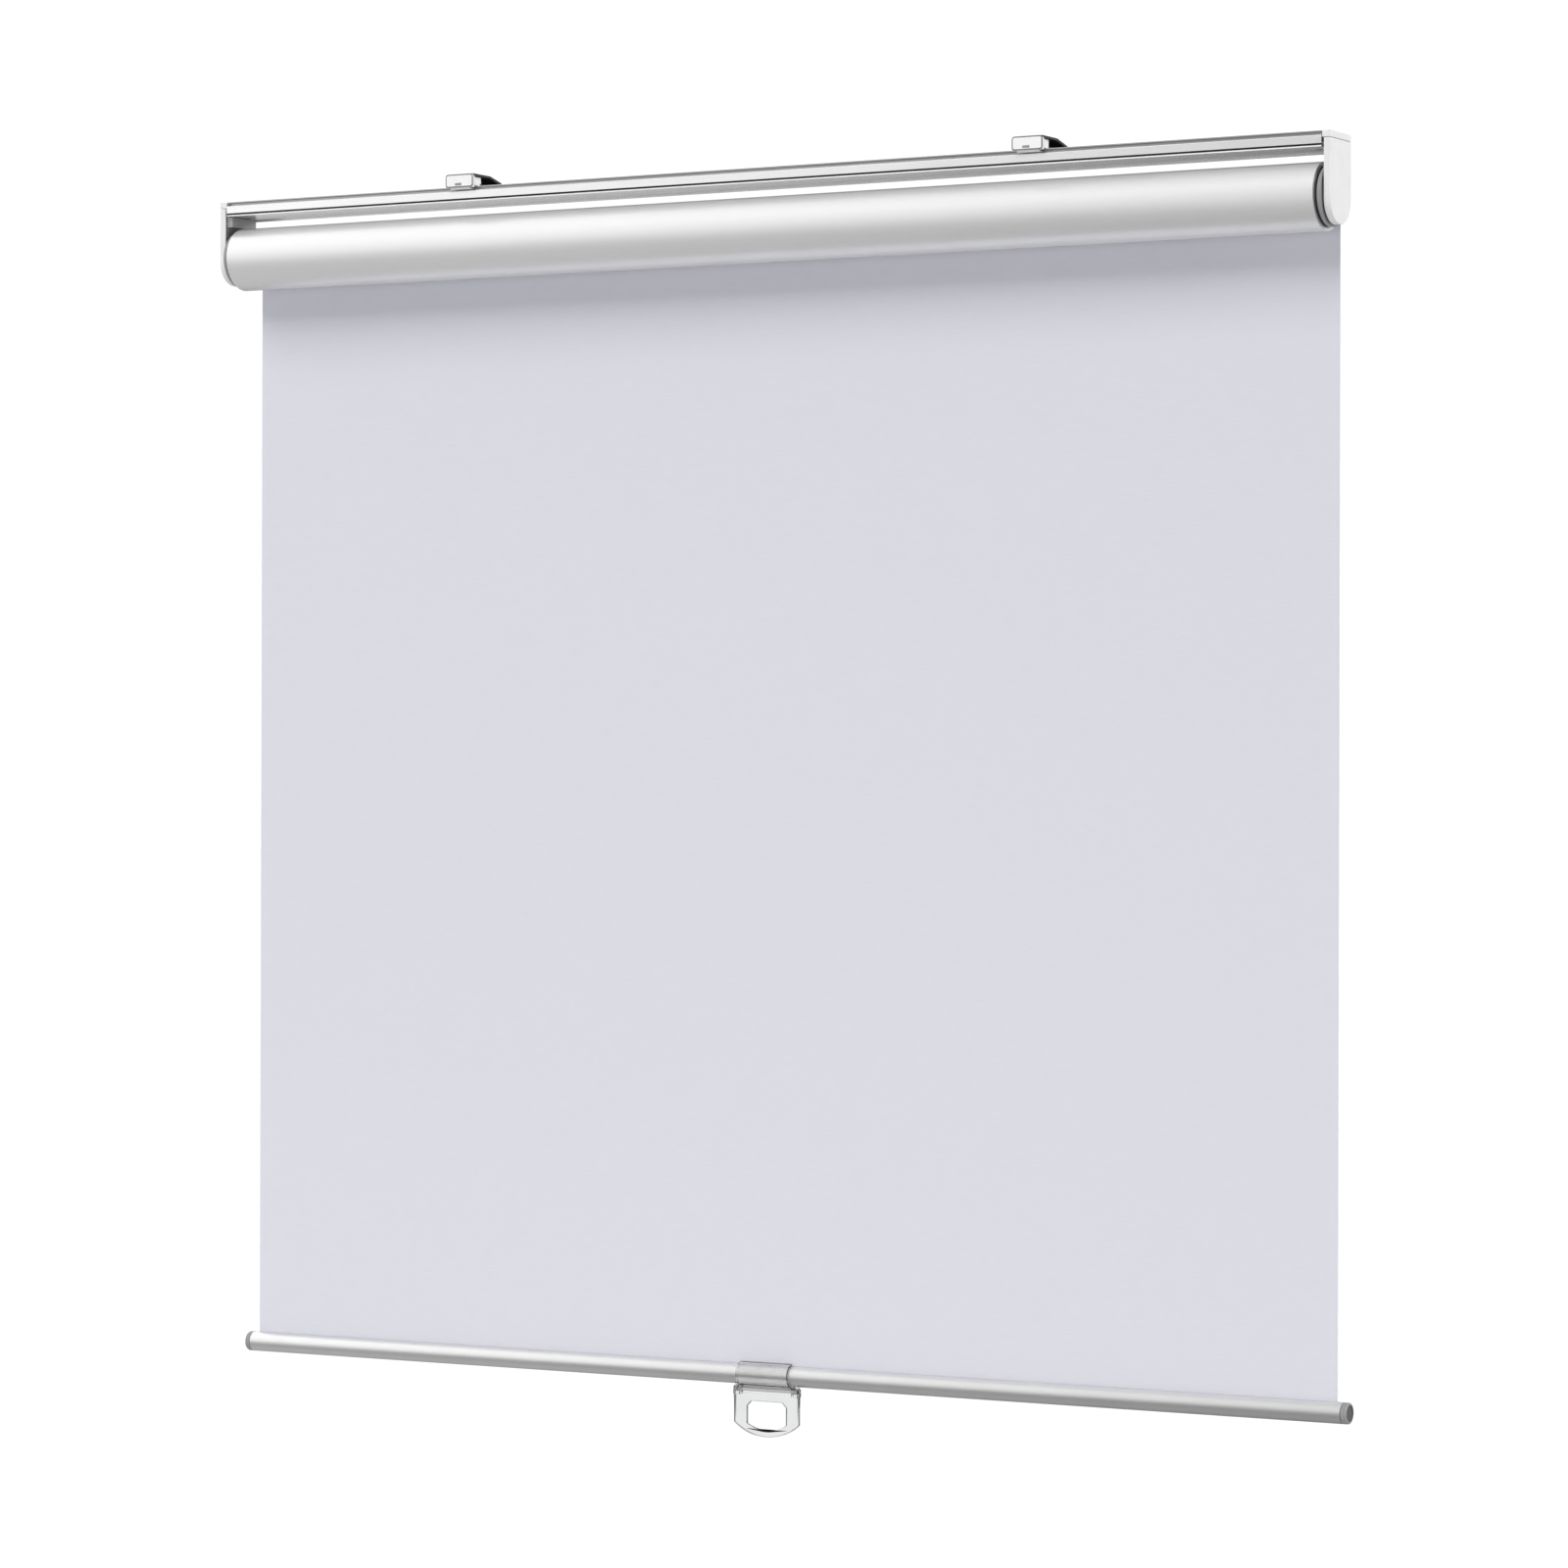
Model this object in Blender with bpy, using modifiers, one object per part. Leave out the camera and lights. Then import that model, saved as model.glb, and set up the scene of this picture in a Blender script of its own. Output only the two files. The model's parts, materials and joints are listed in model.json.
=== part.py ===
"""Roller blind: spring-motor roller, clip-up head rail, round bottom rail and pull loop.

Metres, +Z up, X along the roller. The origin is the middle of the head rail's top face,
straight above the roller's axis. The room is on the -Y side and the window on +Y. The cloth
leaves the rear of the roll, so the reverse of the cloth shows on the roll.
"""

import math

import bmesh
import bpy

# Driving dimensions ---------------------------------------------------------------------
GAP = 0.0003  # clearance between touching pieces

CLOTH_WIDTH = 0.800
CLOTH_THICKNESS = 0.0004
ROLL_RADIUS = 0.0208
ROLL_CLEARANCE = 0.0074  # roll below the head rail
BOTTOM_RAIL_DROP = 0.7737  # centre of the bottom rail below the top of the head rail

TUBE_RADIUS = 0.0160
TUBE_WALL = 0.0011
TUBE_SHORTER = 0.0010  # tube end inside the cloth edge
KEY_WIDTH = 0.0030
KEY_HEIGHT = 0.0020

RAIL_DEPTH = 0.0320
RAIL_HEIGHT = 0.0098
RAIL_OVERHANG = 0.0035  # rail past the cloth edge, each side
RAIL_WALL = 0.0012
RAIL_REAR_BEAD = 0.0010  # rear wall below the underside
RAIL_LIP = 0.0008  # thickness of the two top lips the clips hold
LIP_TAPER = 0.0001  # lip thicker at its root
LIP_SETBACK = 0.0014
HOOK_GROOVE_HEIGHT = 0.0020
HOOK_GROOVE_DEPTH = 0.0034
FRONT_LIP = 0.0008  # face left under the trim groove
TRIM_GROOVE_HEIGHT = 0.0012
TRIM_GROOVE_DEPTH = 0.0012

FLANGE_RADIUS = 0.0188
FLANGE_THICKNESS = 0.0036
FLANGE_STANDOFF = 0.0004  # flange outside the cloth edge
BRACKET_STANDOFF = 0.0009  # bracket outside the flange
BRACKET_THICKNESS = 0.0016
BRACKET_TONGUE = 0.0190  # length of the tongue inside the rail, from the bracket
COVER_DEPTH = 0.0306
COVER_THICKNESS = 0.0045
COVER_WALL = 0.0012
COVER_BELOW_AXIS = 0.0175
RAIL_CAP_HEIGHT = 0.0041
RAIL_CAP_PLUG = 0.0120

SPINDLE_RADIUS = 0.0040
BUSH_WALL = 0.0012
TANG_WIDTH = 0.0030
TANG_HEIGHT = 0.0060
MOTOR_LENGTH = 0.2100
HUB_SLEEVE = 0.0480
HUB_BEARING = 0.0200
HUB_CUP_RADIUS = 0.0110
BRAKE_DRUM_RADIUS = 0.0080
BRAKE_DRUM_LENGTH = 0.0200
BRAKE_WIRE = 0.0014
MOTOR_WIRE = 0.0018
MOTOR_COIL_RADIUS = 0.0090
MOTOR_TURNS = 14
BRAKE_TURNS = 6
PLUG_LENGTH = 0.0150
ANCHOR_LENGTH = 0.0080
ANCHOR_RADIUS = 0.0115
CIRCLIP_THICKNESS = 0.0008
CIRCLIP_WALL = 0.0016

IDLER_SLEEVE = 0.0300
IDLER_PIN_RADIUS = 0.0025
IDLER_COLLAR_RADIUS = 0.0040
IDLER_COLLAR_LENGTH = 0.0020
IDLER_WIRE = 0.0007
IDLER_SPRING_LENGTH = 0.0150
IDLER_TURNS = 7

CLIP_SPACING = 0.4200
CLIP_SHIFT = -0.0032  # middle between the clips, from the middle of the rail
CLIP_WIDTH = 0.0186
CLIP_HEIGHT = 0.0083  # ceiling face above the top of the head rail
CLIP_REAR_HEIGHT = 0.0050  # where the plate has sloped down to its rear wall
CLIP_SLOPE_START = 0.0040  # behind the roller axis
CLIP_STEEL = 0.0015
LATCH_STANDOFF = 0.0012  # back of the latch ahead of the front of the rail
LATCH_WALL = 0.0018
LATCH_HOOK = 0.0009
LATCH_DROP = 0.0009  # front of the latch below the top of the rail
CHEEK_WALL = 0.0012
CHEEK_DEPTH = 0.0085
CEILING_HOLE_RADIUS = 0.0022
CEILING_HOLE_BACK = 0.0012  # behind the roller axis
DRIVER_HOLE_RADIUS = 0.0045

SCREW_RADIUS = 0.0014
SCREW_HEAD_RADIUS = 0.0027
SCREW_SINK = 0.0012
SCREW_PAST = 0.0010  # screw past the tongue

BOTTOM_RADIUS = 0.0066
BOTTOM_WALL = 0.0012
BOTTOM_SLOT = 0.0018
BOTTOM_OVERHANG = 0.0040
BOTTOM_CAP = 0.0037
BOTTOM_PLUG = 0.0100
HEM_WIDTH = 0.0064
HEM_THICKNESS = 0.0016

HANDLE_CLIP_WIDTH = 0.0380
HANDLE_CLIP_WALL = 0.0013
HANDLE_CLIP_FROM = 100  # degrees from +Y, over the front, to
HANDLE_CLIP_TO = 330
ROD_RADIUS = 0.0015
ROD_END = 0.0030  # rod past each side of the handle clip
ROD_NECK = 0.0018  # thickness of the web that joins the rod to the clip
LOOP_WIDTH = 0.0480
LOOP_THICKNESS = 0.0022
LOOP_BOTTOM = 0.0306  # lowest point of the loop below the hinge
LOOP_ARCH = 0.0090  # height of the arched lower edge
EYE_WIDTH = 0.0292
EYE_TOP = 0.0078  # finger hole below the hinge
EYE_HEIGHT = 0.0183
EYE_ARCH = 0.0040
EYE_CHAMFER = 0.0030
EAR_RADIUS = 0.0027
EAR_END_WALL = 0.0014
EAR_CLEARANCE = 0.0004  # ears of the loop below the bottom rail

# Places that follow from them -----------------------------------------------------------
CLOTH_END = CLOTH_WIDTH / 2
AXIS_Z = -RAIL_HEIGHT - ROLL_CLEARANCE - ROLL_RADIUS
BOTTOM_Z = -BOTTOM_RAIL_DROP
SHEET_Y = ROLL_RADIUS + GAP + CLOTH_THICKNESS / 2
TUBE_END = CLOTH_END - TUBE_SHORTER
TUBE_BORE = TUBE_RADIUS - TUBE_WALL
PLUG_RADIUS = TUBE_BORE - GAP
FLANGE_IN = CLOTH_END + FLANGE_STANDOFF
FLANGE_OUT = FLANGE_IN + FLANGE_THICKNESS
BRACKET_IN = FLANGE_OUT + BRACKET_STANDOFF
BRACKET_OUT = BRACKET_IN + BRACKET_THICKNESS
COVER_OUT = BRACKET_IN + COVER_THICKNESS
RAIL_END = CLOTH_END + RAIL_OVERHANG
RAIL_HALF = RAIL_DEPTH / 2
TRIM_BOTTOM = -RAIL_HEIGHT + FRONT_LIP
TRIM_TOP = TRIM_BOTTOM + TRIM_GROOVE_HEIGHT
CLIP_FRONT = -RAIL_HALF - LATCH_STANDOFF - LATCH_WALL
COVER_HALF = COVER_DEPTH / 2
COVER_TOP = -RAIL_CAP_HEIGHT - GAP
COVER_BOTTOM = AXIS_Z - COVER_BELOW_AXIS
BORE_RADIUS = SPINDLE_RADIUS + GAP
BUSH_RADIUS = BORE_RADIUS + BUSH_WALL
HINGE_Z = BOTTOM_Z - BOTTOM_RADIUS - EAR_CLEARANCE - EAR_RADIUS
BOTTOM_END = CLOTH_END + BOTTOM_OVERHANG

ROUND = 48  # segments on the large round pieces
FINE = 24  # segments on the small ones

ALONG_X = (math.pi / 2, 0.0, math.pi / 2)  # outline in Y and Z, drawn out along X
ALONG_Y = (math.pi / 2, 0.0, 0.0)  # outline in X and Z, drawn out along Y
ALONG_Z = (0.0, 0.0, 0.0)  # outline in X and Y, drawn out along Z
TURNED_ON_X = (0.0, math.pi / 2, 0.0)


# Scene, collections and materials -------------------------------------------------------
for old in list(bpy.data.objects):
    bpy.data.objects.remove(old, do_unlink=True)

blind = bpy.data.collections.new("roller_blind")
cutters = bpy.data.collections.new("cutters")
bpy.context.scene.collection.children.link(blind)
bpy.context.scene.collection.children.link(cutters)


def material(name, colour, roughness, metallic=0.0):
    made = bpy.data.materials.new(name)
    made.use_nodes = True
    shader = made.node_tree.nodes["Principled BSDF"]
    shader.inputs["Base Color"].default_value = (*colour, 1.0)
    shader.inputs["Roughness"].default_value = roughness
    shader.inputs["Metallic"].default_value = metallic
    return made


WHITE_METAL = material("white_lacquered_aluminium", (0.80, 0.80, 0.81), 0.4)
WHITE_PLASTIC = material("white_plastic", (0.82, 0.82, 0.82), 0.35)
CLEAR_PLASTIC = material("clear_plastic", (0.86, 0.88, 0.90), 0.12)
GREY_PLASTIC = material("grey_plastic", (0.35, 0.35, 0.36), 0.5)
DARK_STEEL = material("dark_steel", (0.05, 0.05, 0.055), 0.45, 1.0)
STEEL = material("zinc_plated_steel", (0.55, 0.56, 0.58), 0.35, 1.0)
SPRING_STEEL = material("spring_steel", (0.30, 0.31, 0.33), 0.3, 1.0)
ALUMINIUM = material("satin_aluminium", (0.72, 0.73, 0.74), 0.3, 1.0)
CLOTH = material("cloth", (0.70, 0.70, 0.76), 0.9)
CLOTH_BACK = material("cloth_reverse", (0.76, 0.77, 0.79), 0.45)


# Modelling helpers ----------------------------------------------------------------------
def place(name, data, finish, at=(0.0, 0.0, 0.0), turn=(0.0, 0.0, 0.0)):
    """Put a mesh or curve in the blind, or among the cutters if it has no finish."""
    made = bpy.data.objects.new(name, data)
    made.location = at
    made.rotation_euler = turn
    if finish is None:
        cutters.objects.link(made)
        made.hide_render = True
        made.display_type = "WIRE"
    else:
        blind.objects.link(made)
        data.materials.append(finish)
    return made


def arc(centre, radius, start, stop, segments):
    """Points of an arc from start to stop, in degrees, both ends included."""
    points = []
    for step in range(segments + 1):
        angle = math.radians(start + (stop - start) * step / segments)
        points.append((centre[0] + radius * math.cos(angle), centre[1] + radius * math.sin(angle)))
    return points


def circle(centre, radius, segments):
    return arc(centre, radius, 0, 360, segments)[:-1]


def bow(half_width, z_ends, sag, segments):
    """Points of a shallow arc from -half_width to +half_width that dips by sag."""
    radius = (half_width**2 + sag**2) / (2 * sag)
    reach = math.degrees(math.asin(half_width / radius))
    return arc((0.0, z_ends - sag + radius), radius, 270 - reach, 270 + reach, segments)


def rectangle(left, right, low, high):
    return [(left, low), (right, low), (right, high), (left, high)]


def outline_mesh(outlines, thickness):
    """A flat outline with holes, filled and drawn out to a thickness, as a closed mesh."""
    curve = bpy.data.curves.new("outline", "CURVE")
    curve.dimensions = "2D"
    curve.fill_mode = "BOTH"
    curve.extrude = thickness / 2
    for points in outlines:
        spline = curve.splines.new("POLY")
        spline.points.add(len(points) - 1)
        for target, (across, up) in zip(spline.points, points):
            target.co = (across, up, 0.0, 1.0)
        spline.use_cyclic_u = True
    guide = bpy.data.objects.new("outline", curve)
    bpy.context.scene.collection.objects.link(guide)
    graph = bpy.context.evaluated_depsgraph_get()
    mesh = bpy.data.meshes.new_from_object(guide.evaluated_get(graph))
    bpy.data.objects.remove(guide)
    bpy.data.curves.remove(curve)
    work = bmesh.new()
    work.from_mesh(mesh)
    bmesh.ops.remove_doubles(work, verts=work.verts, dist=1e-6)
    bmesh.ops.recalc_face_normals(work, faces=work.faces)
    work.to_mesh(mesh)
    work.free()
    return mesh


def drawn(name, outlines, along, low, high, finish):
    """A profile drawn out from low to high along one axis."""
    middle = (low + high) / 2
    at = {ALONG_X: (middle, 0.0, 0.0), ALONG_Y: (0.0, middle, 0.0), ALONG_Z: (0.0, 0.0, middle)}
    return place(name, outline_mesh(outlines, high - low), finish, at[along], along)


def turned(name, profile, finish, at, turn=TURNED_ON_X, closed=False, segments=FINE):
    """A profile of (height, radius) points, from the top down its outer side, turned round."""
    mesh = bpy.data.meshes.new(name)
    corners = [(radius, 0.0, height) for height, radius in profile]
    edges = [(step, step + 1) for step in range(len(corners) - 1)]
    if closed:
        edges.append((len(corners) - 1, 0))
    mesh.from_pydata(corners, edges, [])
    made = place(name, mesh, finish, at, turn)
    screw = made.modifiers.new("turn", "SCREW")
    screw.steps = segments
    screw.render_steps = segments
    screw.use_merge_vertices = True
    screw.merge_threshold = 1e-6
    return made


def coil(name, radius, wire, start, stop, turns, finish):
    """A helical spring on the roller's axis, from start to stop along X.

    The flats between its points touch the stated radius, so it clears what it is wound on.
    """
    per_turn = 12
    reach = radius / math.cos(math.pi / per_turn)
    steps = int(turns * per_turn)
    curve = bpy.data.curves.new(name, "CURVE")
    curve.dimensions = "3D"
    curve.bevel_depth = wire / 2
    curve.bevel_resolution = 2
    curve.use_fill_caps = True
    spline = curve.splines.new("POLY")
    spline.points.add(steps)
    first = start + wire / 2
    last = stop - wire / 2
    for step, target in enumerate(spline.points):
        angle = math.tau * step / per_turn
        along = first + (last - first) * step / steps
        target.co = (along, reach * math.cos(angle), reach * math.sin(angle), 1.0)
    return place(name, curve, finish, (0.0, 0.0, AXIS_Z))


def boolean(made, tool, operation):
    change = made.modifiers.new(tool.name, "BOOLEAN")
    change.operation = operation
    change.object = tool
    change.solver = "EXACT"


def cut(made, *tools):
    for tool in tools:
        boolean(made, tool, "DIFFERENCE")


def join(made, *tools):
    for tool in tools:
        boolean(made, tool, "UNION")


# Head rail ------------------------------------------------------------------------------
def rail_outline():
    """Half of the outer section, mirrored: lips and hook grooves at the front and rear."""
    lip = RAIL_HALF - LIP_SETBACK
    floor = RAIL_HALF - HOOK_GROOVE_DEPTH
    under_groove = -RAIL_LIP - HOOK_GROOVE_HEIGHT
    ease = GAP
    front = [
        (-lip, 0.0),
        (-lip, -RAIL_LIP),
        (-floor, -RAIL_LIP - LIP_TAPER),
        (-floor, under_groove),
        (-RAIL_HALF + ease, under_groove),
        (-RAIL_HALF, under_groove - ease),
        (-RAIL_HALF, TRIM_TOP),
        (-RAIL_HALF + TRIM_GROOVE_DEPTH, TRIM_TOP),
        (-RAIL_HALF + TRIM_GROOVE_DEPTH, TRIM_BOTTOM),
        (-RAIL_HALF, TRIM_BOTTOM),
        (-RAIL_HALF, -RAIL_HEIGHT),
    ]
    bead_front = RAIL_HALF - RAIL_WALL
    rear = [
        (bead_front, -RAIL_HEIGHT),
        (bead_front, -RAIL_HEIGHT - RAIL_REAR_BEAD),
        (RAIL_HALF, -RAIL_HEIGHT - RAIL_REAR_BEAD),
        (RAIL_HALF, under_groove),
        (floor, under_groove),
        (floor, -RAIL_LIP - LIP_TAPER),
        (lip, -RAIL_LIP),
        (lip, 0.0),
    ]
    return front + rear


def rail_hollow():
    neck = RAIL_HALF - HOOK_GROOVE_DEPTH - RAIL_WALL
    shoulder = -RAIL_LIP - HOOK_GROOVE_HEIGHT - RAIL_WALL
    front = -RAIL_HALF + TRIM_GROOVE_DEPTH + RAIL_WALL
    rear = RAIL_HALF - RAIL_WALL
    floor = -RAIL_HEIGHT + RAIL_WALL
    return [
        (-neck, -RAIL_WALL),
        (-neck, shoulder),
        (front, shoulder),
        (front, floor),
        (rear, floor),
        (rear, shoulder),
        (neck, shoulder),
        (neck, -RAIL_WALL),
    ]


SCREW_X = BRACKET_IN - BRACKET_TONGUE / 2
SCREW_LENGTH = RAIL_WALL + GAP + BRACKET_THICKNESS + SCREW_PAST
SCREW_HOLE = SCREW_RADIUS + GAP

head_rail = drawn(
    "head_rail", [rail_outline(), rail_hollow()], ALONG_X, -RAIL_END, RAIL_END, WHITE_METAL
)


# The two ends: bracket, screw, cover and rail cap ---------------------------------------
def cover_outline(inset, top):
    """U shape of the cover, or of what fits in it, with a half-round lower end."""
    half = COVER_HALF - inset
    low_centre = COVER_BOTTOM + COVER_HALF
    return [(-half, top)] + arc((0.0, low_centre), half, 180, 360, FINE) + [(half, top)]


def span(side, near, far):
    """The stretch between two distances from the middle, on the left (-1) or right (+1)."""
    return sorted((side * near, side * far))


def build_end(side, word, axle_hole):
    plate_inset = COVER_WALL + GAP
    plate_top = COVER_TOP - plate_inset
    plate = [cover_outline(plate_inset, plate_top), axle_hole]
    bracket = drawn(
        f"{word}_bracket", plate, ALONG_X, *span(side, BRACKET_IN, BRACKET_OUT), STEEL
    )
    half = RAIL_HALF - TRIM_GROOVE_DEPTH - RAIL_WALL - GAP
    tongue_low = -RAIL_HEIGHT + RAIL_WALL + GAP
    middle = (BRACKET_IN + BRACKET_OUT) / 2
    tongue = drawn(
        f"{word}_tongue",
        [rectangle(-half, half, tongue_low, tongue_low + BRACKET_THICKNESS)],
        ALONG_X,
        *span(side, BRACKET_IN - BRACKET_TONGUE, middle),
        None,
    )
    sunk = SCREW_HEAD_RADIUS + GAP
    hole = turned(
        f"{word}_screw_hole",
        [
            (SCREW_LENGTH, 0.0),
            (SCREW_LENGTH, SCREW_HOLE),
            (SCREW_SINK, SCREW_HOLE),
            (0.0, sunk),
            (-GAP, sunk),
            (-GAP, 0.0),
        ],
        None,
        (side * SCREW_X, 0.0, -RAIL_HEIGHT),
        ALONG_Z,
    )
    join(bracket, tongue)
    cut(bracket, hole)
    cut(head_rail, hole)

    turned(
        f"{word}_rail_screw",
        [
            (SCREW_LENGTH, 0.0),
            (SCREW_LENGTH, SCREW_RADIUS / 2),
            (SCREW_LENGTH - SCREW_RADIUS / 2, SCREW_RADIUS),
            (SCREW_SINK, SCREW_RADIUS),
            (0.0, SCREW_HEAD_RADIUS),
            (0.0, 0.0),
        ],
        STEEL,
        (side * SCREW_X, 0.0, -RAIL_HEIGHT),
        ALONG_Z,
    )

    cover = drawn(
        f"{word}_cover",
        [cover_outline(0.0, COVER_TOP)],
        ALONG_X,
        *span(side, BRACKET_IN, COVER_OUT),
        WHITE_PLASTIC,
    )
    inside = drawn(
        f"{word}_cover_inside",
        [cover_outline(COVER_WALL, COVER_TOP - COVER_WALL)],
        ALONG_X,
        *span(side, BRACKET_IN - COVER_WALL, COVER_OUT - COVER_WALL),
        None,
    )
    cut(cover, inside)

    cap = drawn(
        f"{word}_rail_cap",
        [rectangle(-COVER_HALF, COVER_HALF, -RAIL_CAP_HEIGHT, 0.0)],
        ALONG_X,
        *span(side, RAIL_END + GAP, COVER_OUT),
        WHITE_PLASTIC,
    )
    neck = RAIL_HALF - HOOK_GROOVE_DEPTH - RAIL_WALL - GAP
    plug = drawn(
        f"{word}_rail_cap_plug",
        [rectangle(-neck, neck, -RAIL_CAP_HEIGHT + GAP, -RAIL_WALL - GAP)],
        ALONG_X,
        *span(side, RAIL_END - RAIL_CAP_PLUG, RAIL_END + 2 * RAIL_WALL),
        None,
    )
    join(cap, plug)
    return bracket


def tang_hole():
    half_width = TANG_WIDTH / 2 + GAP
    half_height = TANG_HEIGHT / 2 + GAP
    return rectangle(-half_width, half_width, AXIS_Z - half_height, AXIS_Z + half_height)


build_end(1, "right", tang_hole())
left_bracket = build_end(-1, "left", circle((0.0, AXIS_Z), IDLER_PIN_RADIUS + GAP, FINE))

# Block of the left bracket, above the roll, that guides the cloth as it is wound up.
block_half = COVER_HALF - COVER_WALL - 2 * GAP
guide_block = drawn(
    "guide_block",
    [rectangle(-block_half, block_half, AXIS_Z + ROLL_RADIUS + GAP, -RAIL_HEIGHT - GAP)],
    ALONG_X,
    *span(-1, CLOTH_END + GAP, (BRACKET_IN + BRACKET_OUT) / 2),
    None,
)
join(left_bracket, guide_block)


# Ceiling clips --------------------------------------------------------------------------
def clip_outline():
    """Bent steel: ceiling plate, rear wall, rear hook, and the plate that seats on the rail."""
    rear_in = RAIL_HALF + GAP
    rear_out = rear_in + CLIP_STEEL
    hook_tip = RAIL_HALF - HOOK_GROOVE_DEPTH + GAP
    hook_top = -RAIL_LIP - GAP
    hook_bottom = -RAIL_LIP - HOOK_GROOVE_HEIGHT + 2 * GAP
    plate_front = CLIP_FRONT + LATCH_WALL + 2 * GAP
    seat_front = -RAIL_HALF + LIP_SETBACK + HOOK_GROOVE_DEPTH
    seat_top = GAP + CLIP_STEEL
    plate_bottom = CLIP_HEIGHT - CLIP_STEEL
    return [
        (plate_front, CLIP_HEIGHT),
        (CLIP_SLOPE_START, CLIP_HEIGHT),
        (rear_out, CLIP_REAR_HEIGHT),
        (rear_out, hook_bottom),
        (hook_tip, hook_bottom),
        (hook_tip, hook_top),
        (rear_in, hook_top),
        (rear_in, GAP),
        (seat_front, GAP),
        (seat_front, seat_top),
        (rear_in, seat_top),
        (rear_in, CLIP_REAR_HEIGHT - CLIP_STEEL),
        (CLIP_SLOPE_START, plate_bottom),
        (plate_front, plate_bottom),
    ]


def build_clip(side, word):
    middle = CLIP_SHIFT + side * CLIP_SPACING / 2
    half = CLIP_WIDTH / 2
    body = drawn(
        f"{word}_clip_body", [clip_outline()], ALONG_X, middle - half, middle + half, DARK_STEEL
    )
    for tag, radius, low in (
        ("ceiling_hole", CEILING_HOLE_RADIUS, CLIP_HEIGHT - 2 * CLIP_STEEL),
        ("driver_hole", DRIVER_HOLE_RADIUS, -CLIP_STEEL),
    ):
        tool = turned(
            f"{word}_{tag}",
            [(3 * CLIP_STEEL, 0.0), (3 * CLIP_STEEL, radius), (0.0, radius), (0.0, 0.0)],
            None,
            (middle, CEILING_HOLE_BACK, low),
            ALONG_Z,
        )
        cut(body, tool)

    hook_top = -RAIL_LIP - GAP
    hook_bottom = hook_top - LATCH_HOOK
    face_top = CLIP_HEIGHT - GAP
    face_half = half + GAP + CHEEK_WALL
    back = CLIP_FRONT + LATCH_WALL
    inside = back - LATCH_WALL / 2
    face = [
        (middle - face_half, -LATCH_DROP),
        (middle + face_half, -LATCH_DROP),
        (middle + face_half, face_top - LATCH_WALL),
        (middle + face_half - LATCH_WALL, face_top),
        (middle - face_half + LATCH_WALL, face_top),
        (middle - face_half, face_top - LATCH_WALL),
    ]
    latch = drawn(f"{word}_clip_latch", [face], ALONG_Y, CLIP_FRONT, back, WHITE_PLASTIC)
    hook_tip = -RAIL_HALF + HOOK_GROOVE_DEPTH - GAP
    hook = drawn(
        f"{word}_latch_hook",
        [
            [
                (inside, hook_bottom),
                (hook_tip, hook_bottom),
                (hook_tip, hook_top),
                (back, hook_top),
                (back, GAP),
                (inside, GAP),
            ]
        ],
        ALONG_X,
        middle - half + LATCH_WALL,
        middle + half - LATCH_WALL,
        None,
    )
    for edge, tag in ((-1, "left"), (1, "right")):
        cheek = drawn(
            f"{word}_{tag}_cheek",
            [
                [
                    (inside, GAP),
                    (CLIP_FRONT + CHEEK_DEPTH, GAP),
                    (CLIP_FRONT + CHEEK_DEPTH, CLIP_HEIGHT / 2),
                    (inside, face_top - LATCH_WALL),
                ]
            ],
            ALONG_X,
            *sorted((middle + edge * (half + GAP), middle + edge * (face_half - GAP))),
            None,
        )
        join(latch, cheek)
    tongue_low = 2 * GAP + CLIP_STEEL
    tongue_high = CLIP_HEIGHT - CLIP_STEEL - GAP
    tongue = drawn(
        f"{word}_latch_tongue",
        [rectangle(inside, -DRIVER_HOLE_RADIUS, tongue_low, tongue_high)],
        ALONG_X,
        middle - half + LATCH_WALL,
        middle + half - LATCH_WALL,
        None,
    )
    join(latch, hook, tongue)


build_clip(-1, "left")
build_clip(1, "right")


# Roller: tube, wound cloth and the hanging sheet ----------------------------------------
def tube_bore_outline(radius, key_width, key_height):
    """Round bore with one key rib at the top."""
    half = key_width / 2
    edge = math.degrees(math.acos(half / radius))
    lower = radius - key_height
    bore = arc((0.0, AXIS_Z), radius, 180 - edge, 360 + edge, ROUND)
    return bore + [(half, AXIS_Z + lower), (-half, AXIS_Z + lower)]


drawn(
    "roller_tube",
    [circle((0.0, AXIS_Z), TUBE_RADIUS, ROUND), tube_bore_outline(TUBE_BORE, KEY_WIDTH, KEY_HEIGHT)],
    ALONG_X,
    -TUBE_END,
    TUBE_END,
    ALUMINIUM,
)
drawn(
    "cloth_roll",
    [circle((0.0, AXIS_Z), ROLL_RADIUS, ROUND), circle((0.0, AXIS_Z), TUBE_RADIUS + GAP, ROUND)],
    ALONG_X,
    -CLOTH_END,
    CLOTH_END,
    CLOTH_BACK,
)

# Groove in each plug that turns with the tube, round the tube's inner rib.
key_top = AXIS_Z + TUBE_RADIUS
key_low = AXIS_Z + TUBE_BORE - KEY_HEIGHT - GAP
key_half = KEY_WIDTH / 2 + GAP
key_way = drawn(
    "key_way",
    [rectangle(-key_half, key_half, key_low, key_top)],
    ALONG_X,
    -CLOTH_END,
    CLOTH_END,
    None,
)
AXIS_AT = (0.0, 0.0, AXIS_Z)


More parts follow.
